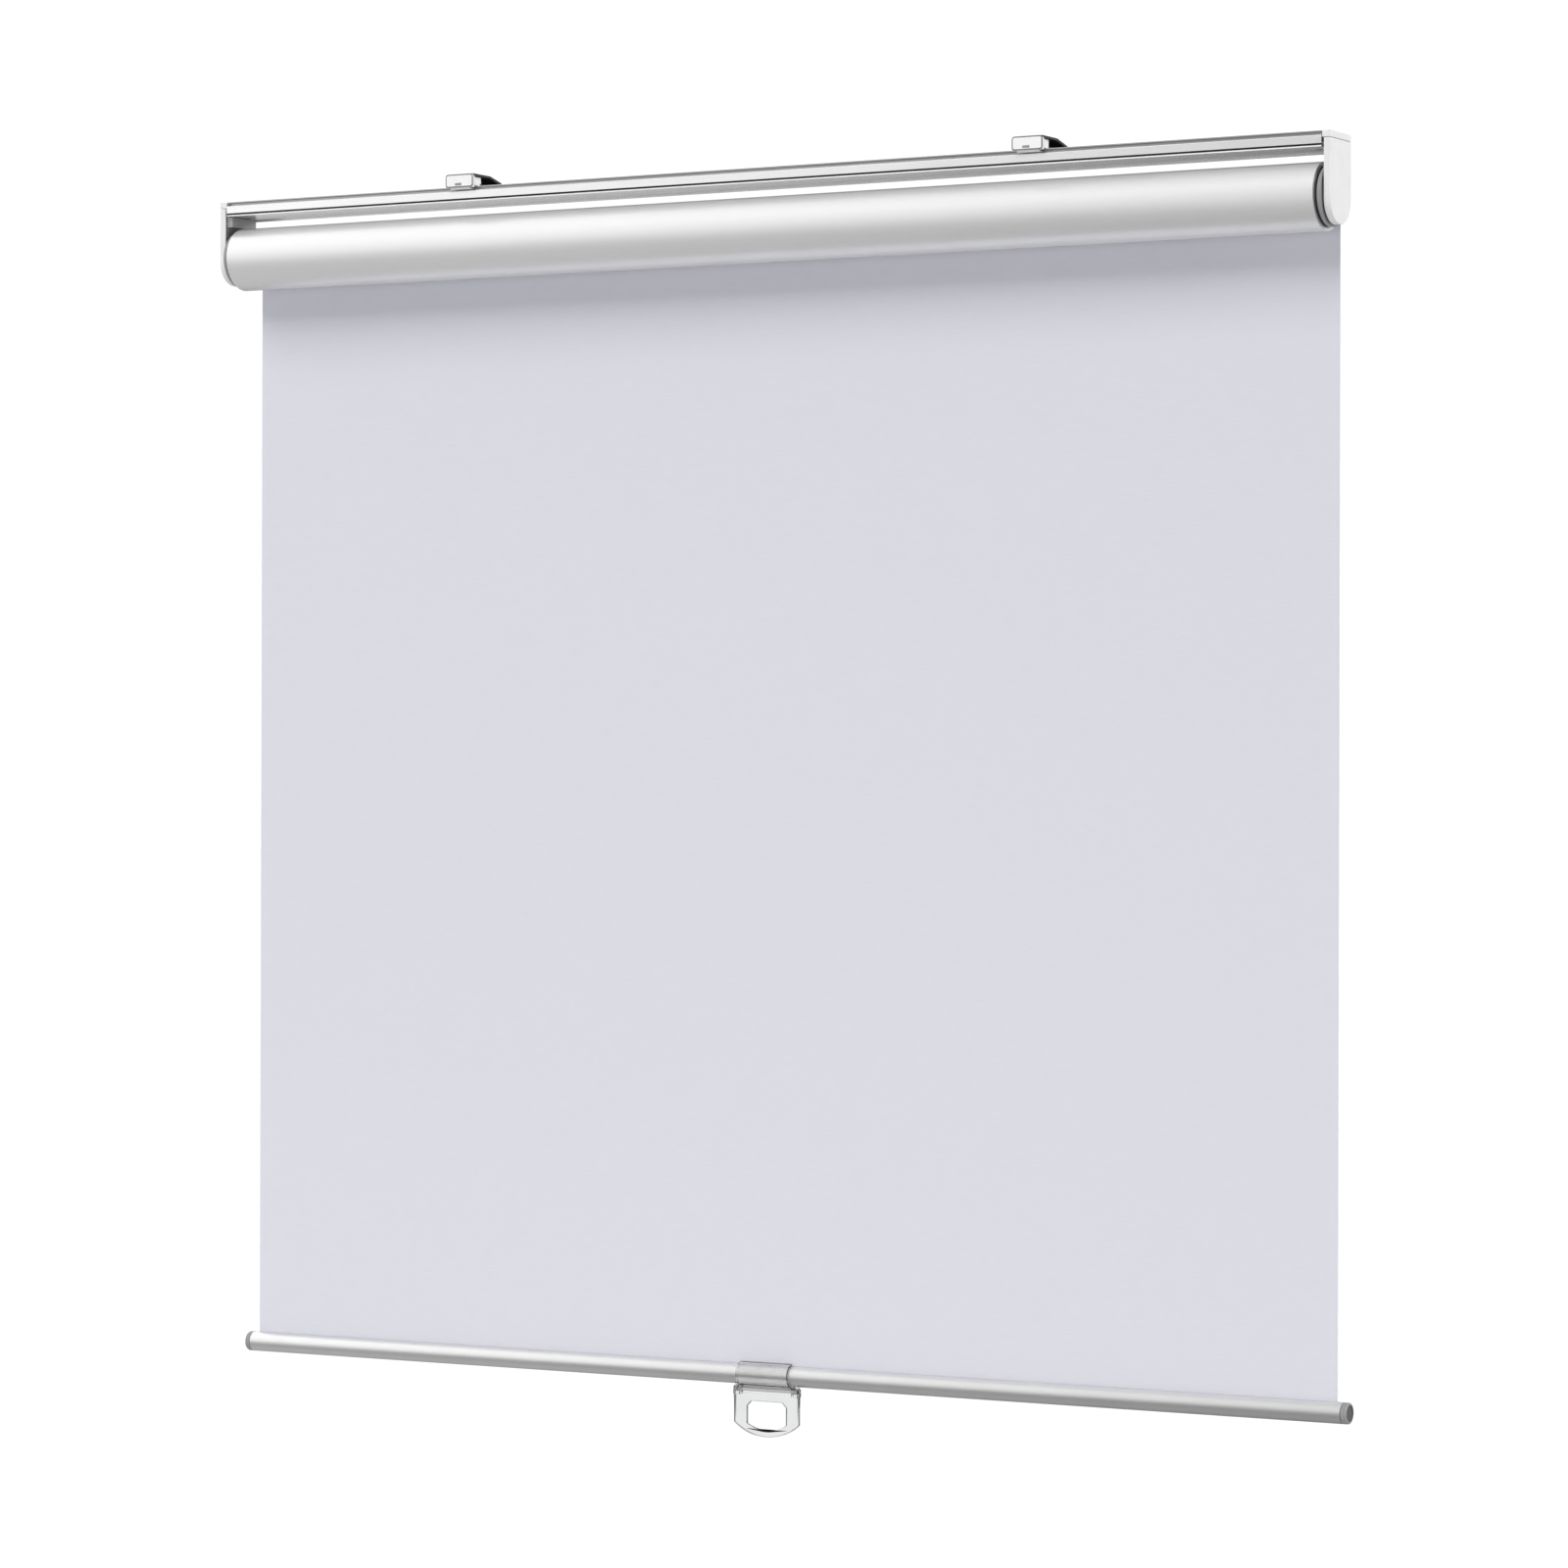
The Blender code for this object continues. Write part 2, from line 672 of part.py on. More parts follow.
# Spring motor in the right end ----------------------------------------------------------
hub_in = FLANGE_IN - HUB_SLEEVE
cup_floor = FLANGE_OUT - HUB_BEARING
bush_hole = BUSH_RADIUS + GAP
motor_hub = turned(
    "motor_hub",
    [
        (FLANGE_OUT, bush_hole),
        (FLANGE_OUT, FLANGE_RADIUS),
        (FLANGE_IN, FLANGE_RADIUS),
        (FLANGE_IN, PLUG_RADIUS),
        (hub_in, PLUG_RADIUS),
        (hub_in, HUB_CUP_RADIUS),
        (cup_floor, HUB_CUP_RADIUS),
        (cup_floor, bush_hole),
    ],
    GREY_PLASTIC,
    AXIS_AT,
    closed=True,
    segments=ROUND,
)
cut(motor_hub, key_way)


def ring(name, low, high, inner, outer, finish, segments=FINE):
    profile = [(high, inner), (high, outer), (low, outer), (low, inner)]
    return turned(name, profile, finish, AXIS_AT, closed=True, segments=segments)


ring("hub_bush", cup_floor, FLANGE_OUT, BORE_RADIUS, BUSH_RADIUS, WHITE_PLASTIC)
circlip_in = cup_floor - GAP - CIRCLIP_THICKNESS
ring(
    "spindle_circlip",
    circlip_in,
    cup_floor - GAP,
    BORE_RADIUS,
    BORE_RADIUS + CIRCLIP_WALL,
    SPRING_STEEL,
)
drum_out = circlip_in - GAP
drum_in = drum_out - BRAKE_DRUM_LENGTH
ring("brake_drum", drum_in, drum_out, BORE_RADIUS, BRAKE_DRUM_RADIUS, STEEL)
coil(
    "brake_spring",
    BRAKE_DRUM_RADIUS + GAP + BRAKE_WIRE / 2,
    BRAKE_WIRE,
    drum_in + BRAKE_WIRE,
    drum_out - BRAKE_WIRE,
    BRAKE_TURNS,
    SPRING_STEEL,
)

spindle_out = FLANGE_OUT + GAP
spindle_in = FLANGE_OUT - MOTOR_LENGTH
spindle = turned(
    "motor_spindle",
    [
        (spindle_out, 0.0),
        (spindle_out, SPINDLE_RADIUS),
        (spindle_in, SPINDLE_RADIUS),
        (spindle_in, 0.0),
    ],
    STEEL,
    AXIS_AT,
)
tang = drawn(
    "tang",
    [
        rectangle(
            -TANG_WIDTH / 2, TANG_WIDTH / 2, AXIS_Z - TANG_HEIGHT / 2, AXIS_Z + TANG_HEIGHT / 2
        )
    ],
    ALONG_X,
    FLANGE_OUT - FLANGE_THICKNESS,
    BRACKET_OUT + GAP,
    None,
)
join(spindle, tang)

anchor_out = hub_in - GAP
anchor_in = anchor_out - ANCHOR_LENGTH
ring("spring_anchor", anchor_in, anchor_out, BORE_RADIUS, ANCHOR_RADIUS, GREY_PLASTIC)

plug_in = spindle_in
plug_out = plug_in + PLUG_LENGTH
drive_plug = ring("drive_plug", plug_in, plug_out, BORE_RADIUS, PLUG_RADIUS, GREY_PLASTIC)
cut(drive_plug, key_way)
coil(
    "torsion_spring",
    MOTOR_COIL_RADIUS,
    MOTOR_WIRE,
    plug_out + GAP,
    anchor_in - GAP,
    MOTOR_TURNS,
    SPRING_STEEL,
)


# Idler in the left end ------------------------------------------------------------------
collar_in = FLANGE_OUT - FLANGE_THICKNESS - GAP
spring_out = collar_in - IDLER_COLLAR_LENGTH - GAP
spring_in = spring_out - IDLER_SPRING_LENGTH
chamber_in = spring_in - GAP
chamber_radius = IDLER_COLLAR_RADIUS + GAP
pin_hole = IDLER_PIN_RADIUS + GAP
idler_plug = turned(
    "idler_plug",
    [
        (-FLANGE_IN + IDLER_SLEEVE, 0.0),
        (-FLANGE_IN + IDLER_SLEEVE, PLUG_RADIUS),
        (-FLANGE_IN, PLUG_RADIUS),
        (-FLANGE_IN, FLANGE_RADIUS),
        (-FLANGE_OUT, FLANGE_RADIUS),
        (-FLANGE_OUT, pin_hole),
        (-FLANGE_IN, pin_hole),
        (-FLANGE_IN, chamber_radius),
        (-chamber_in, chamber_radius),
        (-chamber_in, 0.0),
    ],
    GREY_PLASTIC,
    AXIS_AT,
    segments=ROUND,
)
cut(idler_plug, key_way)
turned(
    "idler_pin",
    [
        (-collar_in + IDLER_COLLAR_LENGTH, 0.0),
        (-collar_in + IDLER_COLLAR_LENGTH, IDLER_COLLAR_RADIUS),
        (-collar_in, IDLER_COLLAR_RADIUS),
        (-collar_in, IDLER_PIN_RADIUS),
        (-BRACKET_OUT, IDLER_PIN_RADIUS),
        (-BRACKET_OUT - 2 * GAP, IDLER_PIN_RADIUS - 2 * GAP),
        (-BRACKET_OUT - 2 * GAP, 0.0),
    ],
    STEEL,
    AXIS_AT,
)
coil(
    "idler_spring",
    IDLER_COLLAR_RADIUS - IDLER_WIRE,
    IDLER_WIRE,
    -spring_out,
    -spring_in,
    IDLER_TURNS,
    SPRING_STEEL,
)


# Bottom rail ----------------------------------------------------------------------------
BOTTOM_BORE = BOTTOM_RADIUS - BOTTOM_WALL


def slot_edge(radius):
    return math.degrees(math.acos(BOTTOM_SLOT / 2 / radius))


bottom_centre = (SHEET_Y, BOTTOM_Z)
outer_edge = slot_edge(BOTTOM_RADIUS)
inner_edge = slot_edge(BOTTOM_BORE)
outer_skin = arc(bottom_centre, BOTTOM_RADIUS, 180 - outer_edge, 360 + outer_edge, ROUND)
inner_skin = arc(bottom_centre, BOTTOM_BORE, 360 + inner_edge, 180 - inner_edge, ROUND)
drawn("bottom_rail", [outer_skin + inner_skin], ALONG_X, -BOTTOM_END, BOTTOM_END, ALUMINIUM)

hem_half = HEM_WIDTH / 2
hem_high = BOTTOM_Z + math.sqrt((BOTTOM_BORE - GAP) ** 2 - hem_half**2)
hem_end = BOTTOM_END - BOTTOM_PLUG - GAP
drawn(
    "hem_strip",
    [rectangle(SHEET_Y - hem_half, SHEET_Y + hem_half, hem_high - HEM_THICKNESS, hem_high)],
    ALONG_X,
    -hem_end,
    hem_end,
    WHITE_PLASTIC,
)
for side, word in ((1, "right"), (-1, "left")):
    end_cap = turned(
        f"{word}_bottom_cap",
        [
            (BOTTOM_END + GAP + BOTTOM_CAP, 0.0),
            (BOTTOM_END + GAP + BOTTOM_CAP, BOTTOM_RADIUS - 2 * GAP),
            (BOTTOM_END + BOTTOM_CAP - GAP, BOTTOM_RADIUS),
            (BOTTOM_END + GAP, BOTTOM_RADIUS),
            (BOTTOM_END + GAP, BOTTOM_BORE - GAP),
            (BOTTOM_END - BOTTOM_PLUG, BOTTOM_BORE - GAP),
            (BOTTOM_END - BOTTOM_PLUG, 0.0),
        ],
        GREY_PLASTIC,
        (0.0, SHEET_Y, BOTTOM_Z),
        (0.0, side * math.pi / 2, 0.0),
    )
    cloth_notch = drawn(
        f"{word}_cloth_notch",
        [
            rectangle(
                SHEET_Y - BOTTOM_SLOT / 2,
                SHEET_Y + BOTTOM_SLOT / 2,
                hem_high - HEM_THICKNESS,
                BOTTOM_Z + BOTTOM_RADIUS,
            )
        ],
        ALONG_X,
        *span(side, BOTTOM_END - BOTTOM_PLUG - GAP, BOTTOM_END),
        None,
    )
    cut(end_cap, cloth_notch)

sheet_half = CLOTH_THICKNESS / 2
drawn(
    "fabric_sheet",
    [rectangle(SHEET_Y - sheet_half, SHEET_Y + sheet_half, hem_high + GAP, AXIS_Z)],
    ALONG_X,
    -CLOTH_END,
    CLOTH_END,
    CLOTH,
)


# Handle: snap-on clip with its hinge rod, and the pull loop -----------------------------
clip_inner = BOTTOM_RADIUS + GAP
clip_outer = clip_inner + HANDLE_CLIP_WALL
clip_half = HANDLE_CLIP_WIDTH / 2
clip_face = arc(bottom_centre, clip_outer, HANDLE_CLIP_FROM, HANDLE_CLIP_TO, ROUND)
clip_back = arc(bottom_centre, clip_inner, HANDLE_CLIP_TO, HANDLE_CLIP_FROM, ROUND)
handle_clip = drawn(
    "handle_clip", [clip_face + clip_back], ALONG_X, -clip_half, clip_half, CLEAR_PLASTIC
)
rod_end = clip_half + ROD_END
rod = turned(
    "hinge_rod",
    [(rod_end, 0.0), (rod_end, ROD_RADIUS), (-rod_end, ROD_RADIUS), (-rod_end, 0.0)],
    None,
    (0.0, SHEET_Y, HINGE_Z),
)
neck_half = ROD_NECK / 2
neck = drawn(
    "rod_neck",
    [
        rectangle(
            SHEET_Y - neck_half,
            SHEET_Y + neck_half,
            HINGE_Z,
            BOTTOM_Z - (clip_inner + clip_outer) / 2,
        )
    ],
    ALONG_X,
    -clip_half,
    clip_half,
    None,
)
join(handle_clip, rod, neck)

ear_in = clip_half + GAP
ear_out = rod_end + GAP + EAR_END_WALL
loop_half = LOOP_WIDTH / 2
bar_top = HINGE_Z - ROD_RADIUS - 2 * GAP
loop_low = HINGE_Z - LOOP_BOTTOM
loop_outline = (
    [(-loop_half, bar_top)]
    + bow(loop_half, loop_low + LOOP_ARCH, LOOP_ARCH, FINE)
    + [(loop_half, bar_top)]
)
eye_half = EYE_WIDTH / 2
eye_top = HINGE_Z - EYE_TOP
eye_low = eye_top - EYE_HEIGHT
eye_outline = (
    [
        (eye_half - EYE_CHAMFER, eye_top),
        (-eye_half + EYE_CHAMFER, eye_top),
        (-eye_half, eye_top - EYE_CHAMFER),
    ]
    + bow(eye_half, eye_low + EYE_ARCH, EYE_ARCH, FINE)
    + [(eye_half, eye_top - EYE_CHAMFER)]
)
loop_front = SHEET_Y - LOOP_THICKNESS / 2
handle_loop = drawn(
    "handle_loop",
    [loop_outline, eye_outline],
    ALONG_Y,
    loop_front,
    loop_front + LOOP_THICKNESS,
    CLEAR_PLASTIC,
)
for side, word in ((1, "right"), (-1, "left")):
    ear = drawn(
        f"{word}_ear",
        [
            [(SHEET_Y - EAR_RADIUS, bar_top - EAR_RADIUS / 2)]
            + [(SHEET_Y + EAR_RADIUS, bar_top - EAR_RADIUS / 2)]
            + arc((SHEET_Y, HINGE_Z), EAR_RADIUS, 0, 180, FINE // 2)
        ],
        ALONG_X,
        *span(side, ear_in, ear_out),
        None,
    )
    bore_end = rod_end + GAP
    bore_radius = ROD_RADIUS + GAP
    bore = turned(
        f"{word}_ear_bore",
        [(bore_end, 0.0), (bore_end, bore_radius), (0.0, bore_radius), (0.0, 0.0)],
        None,
        (0.0, SHEET_Y, HINGE_Z),
        (0.0, side * math.pi / 2, 0.0),
    )
    join(handle_loop, ear)
    cut(handle_loop, bore)
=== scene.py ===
"""Looks of the roller blind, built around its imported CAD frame. Metres, +Z up.

The main sizes are read from the frame, and the fine detail added here has its own. The blind
hangs from its clips, so the floor lies well below it.
"""

import json
import math

import bmesh
import bpy
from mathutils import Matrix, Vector


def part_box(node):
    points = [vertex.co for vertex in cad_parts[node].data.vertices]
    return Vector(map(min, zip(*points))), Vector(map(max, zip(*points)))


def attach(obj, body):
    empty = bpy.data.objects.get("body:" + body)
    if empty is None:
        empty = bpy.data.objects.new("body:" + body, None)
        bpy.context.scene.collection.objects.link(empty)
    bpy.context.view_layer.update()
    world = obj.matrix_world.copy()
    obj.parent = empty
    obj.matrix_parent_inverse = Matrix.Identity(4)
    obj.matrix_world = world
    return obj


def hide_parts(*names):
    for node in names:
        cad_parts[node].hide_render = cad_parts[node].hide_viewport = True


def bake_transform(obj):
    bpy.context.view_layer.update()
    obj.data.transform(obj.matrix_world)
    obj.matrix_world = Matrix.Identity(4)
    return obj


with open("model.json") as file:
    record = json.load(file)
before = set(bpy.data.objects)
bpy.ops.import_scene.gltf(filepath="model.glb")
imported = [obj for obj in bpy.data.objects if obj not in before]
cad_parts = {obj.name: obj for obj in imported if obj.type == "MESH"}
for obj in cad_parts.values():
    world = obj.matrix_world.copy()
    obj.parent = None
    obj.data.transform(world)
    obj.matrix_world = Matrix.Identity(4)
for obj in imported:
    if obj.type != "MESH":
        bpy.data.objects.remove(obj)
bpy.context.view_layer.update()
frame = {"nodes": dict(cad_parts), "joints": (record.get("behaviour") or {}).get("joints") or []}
MM = 0.001
SAME_PLACE = 1e-7  # vertices this close are one


# Sizes read from the frame --------------------------------------------------------------
def joint(name):
    return next(entry for entry in frame["joints"] if entry["name"] == name)


AXIS_Z = joint("roller_spin")["pos_m"][2]
HINGE_Y, HINGE_Z = joint("handle_hinge")["pos_m"][1:]
TRAVEL_DOWN = joint("bottom_rail_slide")["range_m"][0]

rail_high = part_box("head_rail")[1]
roll_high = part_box("cloth_roll")[1]
tube_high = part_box("roller_tube")[1]
sheet_low, sheet_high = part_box("fabric_sheet")
bottom_low, bottom_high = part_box("bottom_rail")

CLOTH_END = roll_high.x
ROLL_RADIUS = roll_high.y
TUBE_RADIUS = tube_high.y
SHEET_Y = (sheet_low.y + sheet_high.y) / 2
CLOTH_THICKNESS = sheet_high.y - sheet_low.y
BOTTOM_RADIUS = (bottom_high.y - bottom_low.y) / 2
BOTTOM_END = bottom_high.x
BOTTOM_Z = bottom_low.z + BOTTOM_RADIUS
RAIL_HALF = rail_high.y
RAIL_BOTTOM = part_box("left_rail_screw")[0].z


# Camera, stage and light ----------------------------------------------------------------
CAMERA_AT = Vector((1.69915, -2.91012, -0.39908))
CAMERA_TURN = 29.931  # degrees from +Y towards -X
CAMERA_PITCH = 90.103  # degrees from straight down
CAMERA_ROLL = 0.157  # degrees
LENS, SENSOR = 120.72, 36.0  # in millimetres, as the camera takes them
FAR = 60.0

WORLD_STRENGTH = 1.6
DIFFUSE_SHARE = 0.31  # of the world, for what it lights against what it is mirrored in
# Brightness by direction, from -1 (0.0) to +1 (1.0) along each axis. The axes multiply.
UP_STOPS = (
    (0.0, 0.40),
    (0.15, 0.34),
    (0.30, 0.22),
    (0.44, 0.42),
    (0.56, 0.80),
    (0.72, 0.98),
    (1.0, 1.0),
)
ACROSS_STOPS = ((0.0, 1.0), (0.19, 1.0), (0.25, 0.74), (0.31, 0.25), (0.62, 0.38), (1.0, 0.65))
DEEP_STOPS = ((0.0, 1.0), (0.55, 1.0), (0.80, 0.95), (1.0, 1.0))
WORLD_STOPS = (("Z", UP_STOPS), ("X", ACROSS_STOPS), ("Y", DEEP_STOPS))
BACKDROP_STRENGTH = 1.05
# Cosines off the direction straight into the picture between which clear plastic sees the backdrop.
BACKDROP_EDGE = (0.90, 0.97)

LIGHTS_AIM = Vector((0.0, 0.0, -0.35))
FLOOR_RADIUS = 2.2
FLOOR_CLEARANCE = 0.15  # below the hinge at full travel


def build_camera():
    data = bpy.data.cameras.new("camera")
    data.lens = LENS
    data.sensor_width = SENSOR
    data.clip_end = FAR
    camera = bpy.data.objects.new("camera", data)
    camera.location = CAMERA_AT
    camera.rotation_euler = (math.radians(CAMERA_PITCH), 0.0, math.radians(CAMERA_TURN))
    bpy.context.scene.collection.objects.link(camera)
    camera.rotation_euler.rotate_axis("Z", math.radians(CAMERA_ROLL))
    bpy.context.scene.camera = camera


def ramp(nodes, stops):
    made = nodes.new("ShaderNodeValToRGB")
    points = made.color_ramp.elements
    while len(points) < len(stops):
        points.new(0.5)
    for point, (place, level) in zip(points, stops):
        point.position = place
        point.color = (level, level, level, 1.0)
    return made


def build_world():
    """A white backdrop for the eye, and graded light for the blind.

    Clear plastic shows the backdrop only straight into the picture, a fixed direction.
    """
    world = bpy.data.worlds.new("studio")
    bpy.context.scene.world = world
    world.use_nodes = True
    nodes, links = world.node_tree.nodes, world.node_tree.links
    nodes.clear()
    output = nodes.new("ShaderNodeOutputWorld")
    seen = nodes.new("ShaderNodeBackground")
    seen.inputs["Strength"].default_value = BACKDROP_STRENGTH
    seen.inputs["Color"].default_value = (1.0, 1.0, 1.0, 1.0)
    lit = nodes.new("ShaderNodeBackground")
    where = nodes.new("ShaderNodeTexCoord")
    split = nodes.new("ShaderNodeSeparateXYZ")
    links.new(where.outputs["Generated"], split.inputs[0])
    product = None
    for axis, stops in WORLD_STOPS:
        to_unit = nodes.new("ShaderNodeMapRange")
        to_unit.inputs["From Min"].default_value = -1.0
        links.new(split.outputs[axis], to_unit.inputs["Value"])
        level = ramp(nodes, stops)
        links.new(to_unit.outputs[0], level.inputs["Fac"])
        if product is None:
            product = level.outputs["Color"]
            continue
        times = nodes.new("ShaderNodeVectorMath")
        times.operation = "MULTIPLY"
        links.new(product, times.inputs[0])
        links.new(level.outputs["Color"], times.inputs[1])
        product = times.outputs[0]
    links.new(product, lit.inputs["Color"])
    path = nodes.new("ShaderNodeLightPath")
    strength = nodes.new("ShaderNodeMapRange")
    strength.inputs["To Min"].default_value = WORLD_STRENGTH
    strength.inputs["To Max"].default_value = WORLD_STRENGTH * DIFFUSE_SHARE
    links.new(path.outputs["Is Diffuse Ray"], strength.inputs["Value"])
    links.new(strength.outputs["Result"], lit.inputs["Strength"])
    turn = math.radians(CAMERA_TURN)
    ahead = nodes.new("ShaderNodeVectorMath")
    ahead.operation = "DOT_PRODUCT"
    ahead.inputs[1].default_value = (-math.sin(turn), math.cos(turn), 0.0)
    links.new(where.outputs["Generated"], ahead.inputs[0])
    backdrop = nodes.new("ShaderNodeMapRange")
    backdrop.inputs["From Min"].default_value = BACKDROP_EDGE[0]
    backdrop.inputs["From Max"].default_value = BACKDROP_EDGE[1]
    links.new(ahead.outputs["Value"], backdrop.inputs["Value"])
    through = nodes.new("ShaderNodeMath")
    through.operation = "MULTIPLY"
    links.new(path.outputs["Is Transmission Ray"], through.inputs[0])
    links.new(backdrop.outputs["Result"], through.inputs[1])
    direct = nodes.new("ShaderNodeMath")
    direct.operation = "MAXIMUM"
    links.new(path.outputs["Is Camera Ray"], direct.inputs[0])
    links.new(through.outputs[0], direct.inputs[1])
    mix = nodes.new("ShaderNodeMixShader")
    links.new(direct.outputs[0], mix.inputs["Fac"])
    links.new(lit.outputs[0], mix.inputs[1])
    links.new(seen.outputs[0], mix.inputs[2])
    links.new(mix.outputs[0], output.inputs["Surface"])


def area_light(name, turn, rise, distance, size, power, mirrored=True):
    """A light turned towards -X from the front, risen from level, in degrees, facing the blind.

    One that is not mirrored makes no highlight of its own.
    """
    side, up = math.radians(turn), math.radians(rise)
    data = bpy.data.lights.new(name, "AREA")
    data.shape = "RECTANGLE"
    data.size, data.size_y = size
    data.energy = power
    light = bpy.data.objects.new(name, data)
    away = Vector((-math.sin(side) * math.cos(up), -math.cos(side) * math.cos(up), math.sin(up)))
    light.location = LIGHTS_AIM + away * distance
    light.rotation_euler = away.to_track_quat("Z", "Y").to_euler()
    light.visible_glossy = mirrored
    light.visible_transmission = mirrored
    bpy.context.scene.collection.objects.link(light)


def build_floor():
    """A pale floor, below all that the bottom rail can travel."""
    work = bmesh.new()
    bmesh.ops.create_circle(work, cap_ends=True, segments=96, radius=FLOOR_RADIUS)
    mesh = bpy.data.meshes.new("floor")
    work.to_mesh(mesh)
    work.free()
    mesh.materials.append(FLOOR)
    floor = bpy.data.objects.new("floor", mesh)
    floor.location.z = HINGE_Z + TRAVEL_DOWN - FLOOR_CLEARANCE
    floor.visible_glossy = False
    bpy.context.scene.collection.objects.link(floor)


# Material helpers -----------------------------------------------------------------------
SOCKETS = {"clear": "Transmission Weight", "ior": "IOR", "metal": "Metallic"}


def material(name, colour, roughness, metallic=0.0, **sockets):
    made = bpy.data.materials.new(name)
    made.use_nodes = True
    shader = made.node_tree.nodes["Principled BSDF"]
    shader.inputs["Base Color"].default_value = (*colour, 1.0)
    shader.inputs["Roughness"].default_value = roughness
    shader.inputs["Metallic"].default_value = metallic
    for socket, value in sockets.items():
        shader.inputs[SOCKETS[socket]].default_value = value
    return made


def coordinates(made, stretch=(1.0, 1.0, 1.0)):
    nodes, links = made.node_tree.nodes, made.node_tree.links
    where = nodes.new("ShaderNodeTexCoord")
    scaled = nodes.new("ShaderNodeMapping")
    scaled.inputs["Scale"].default_value = stretch
    links.new(where.outputs["Object"], scaled.inputs["Vector"])
    return scaled.outputs["Vector"]


def noise(made, vector, size, detail=3.0):
    """Noise whose features are about that many metres across."""
    nodes, links = made.node_tree.nodes, made.node_tree.links
    pattern = nodes.new("ShaderNodeTexNoise")
    pattern.inputs["Scale"].default_value = 1.0 / size
    pattern.inputs["Detail"].default_value = detail
    links.new(vector, pattern.inputs["Vector"])
    return pattern.outputs["Fac"]


def vary(made, value, name, low, high):
    """Drive the roughness, or the lightness of the colour, between two levels."""
    nodes, links = made.node_tree.nodes, made.node_tree.links
    shader = nodes["Principled BSDF"]
    spread = nodes.new("ShaderNodeMapRange")
    spread.inputs["From Min"].default_value = 0.3
    spread.inputs["From Max"].default_value = 0.7
    links.new(value, spread.inputs["Value"])
    if name == "Roughness":
        spread.inputs["To Min"].default_value = low
        spread.inputs["To Max"].default_value = high
        links.new(spread.outputs["Result"], shader.inputs["Roughness"])
        return
    mix = nodes.new("ShaderNodeMix")
    mix.data_type = "RGBA"
    colour = shader.inputs["Base Color"].default_value[:3]
    for entry in mix.inputs:
        if entry.type == "RGBA" and entry.name in "AB":
            factor = low if entry.name == "A" else high
            entry.default_value = (*(min(channel * factor, 1.0) for channel in colour), 1.0)
    links.new(spread.outputs["Result"], mix.inputs[0])
    result = next(entry for entry in mix.outputs if entry.type == "RGBA")
    links.new(result, shader.inputs["Base Color"])


def bump(made, value, depth, strength=1.0):
    nodes, links = made.node_tree.nodes, made.node_tree.links
    relief = nodes.new("ShaderNodeBump")
    relief.inputs["Strength"].default_value = strength
    relief.inputs["Distance"].default_value = depth
    links.new(value, relief.inputs["Height"])
    links.new(relief.outputs["Normal"], nodes["Principled BSDF"].inputs["Normal"])


def moulded(name, colour, roughness, grain=0.35 * MM, **sockets):
    """Injection-moulded plastic: fine spark grain, faint flow marks."""
    made = material(name, colour, roughness, **sockets)
    place = coordinates(made)
    fine = noise(made, place, grain)
    vary(made, noise(made, place, 12 * MM), "Base Color", 0.975, 1.02)
    vary(made, fine, "Roughness", roughness * 0.9, roughness * 1.15)
    bump(made, fine, 0.008 * MM, 0.5)
    return made


def drawn_metal(name, colour, roughness, metallic, streak=0.12 * MM, depth=0.006 * MM, **sockets):
    """Extruded metal: fine lines along X."""
    made = material(name, colour, roughness, metallic, **sockets)
    lines = noise(made, coordinates(made, (0.012, 1.0, 1.0)), streak, 4.0)
    vary(made, noise(made, coordinates(made), 30 * MM), "Base Color", 0.985, 1.015)
    vary(made, lines, "Roughness", roughness * 0.85, roughness * 1.25)
    bump(made, lines, depth, 0.6)
    return made


def wave(made, vector, direction, pitch):
    nodes, links = made.node_tree.nodes, made.node_tree.links
    bands = nodes.new("ShaderNodeTexWave")
    bands.bands_direction = direction
    bands.inputs["Scale"].default_value = math.tau / (20.0 * pitch)
    bands.inputs["Distortion"].default_value = 0.15
    links.new(vector, bands.inputs["Vector"])
    return bands.outputs["Fac"]


def woven(name, colour, roughness, pitch=0.42 * MM, depth=0.03 * MM, **sockets):
    """Plain weave: threads along X and up the cloth, slubs, and soft unevenness."""
    made = material(name, colour, roughness, **sockets)
    nodes, links = made.node_tree.nodes, made.node_tree.links
    place = coordinates(made)
    weft = wave(made, place, "Z", pitch)
    warp = wave(made, place, "X", pitch)
    crossing = nodes.new("ShaderNodeMath")
    crossing.operation = "MAXIMUM"
    links.new(weft, crossing.inputs[0])
    links.new(warp, crossing.inputs[1])
    slub = noise(made, coordinates(made, (0.05, 1.0, 1.0)), 0.5 * MM)
    height = nodes.new("ShaderNodeMath")
    height.operation = "ADD"
    links.new(crossing.outputs[0], height.inputs[0])
    links.new(slub, height.inputs[1])
    vary(made, slub, "Base Color", 0.985, 1.015)
    vary(made, noise(made, place, 60 * MM), "Roughness", roughness * 0.93, roughness * 1.07)
    bump(made, height.outputs[0], depth, 0.35)
    return made


LACQUER = drawn_metal("silver_white_lacquer", (0.92, 0.92, 0.925), 0.20, 0.65, 3 * MM, 0.0002 * MM)
# Painted highlight: the strip under the rail's recess and the lip below its seam are painted near
# white.
RAIL_EDGE_HIGHLIGHT = drawn_metal("painted_highlight_edge", (0.98, 0.98, 0.98), 0.3, 0.0, 3 * MM, 0.0002 * MM)
# Painted shade: the recessed band along the rail's top front is painted darker.
RAIL_RECESS_SHADE = drawn_metal("rail_recess_painted_shade", (0.52, 0.52, 0.53), 0.3, 0.8, 3 * MM, 0.0002 * MM)
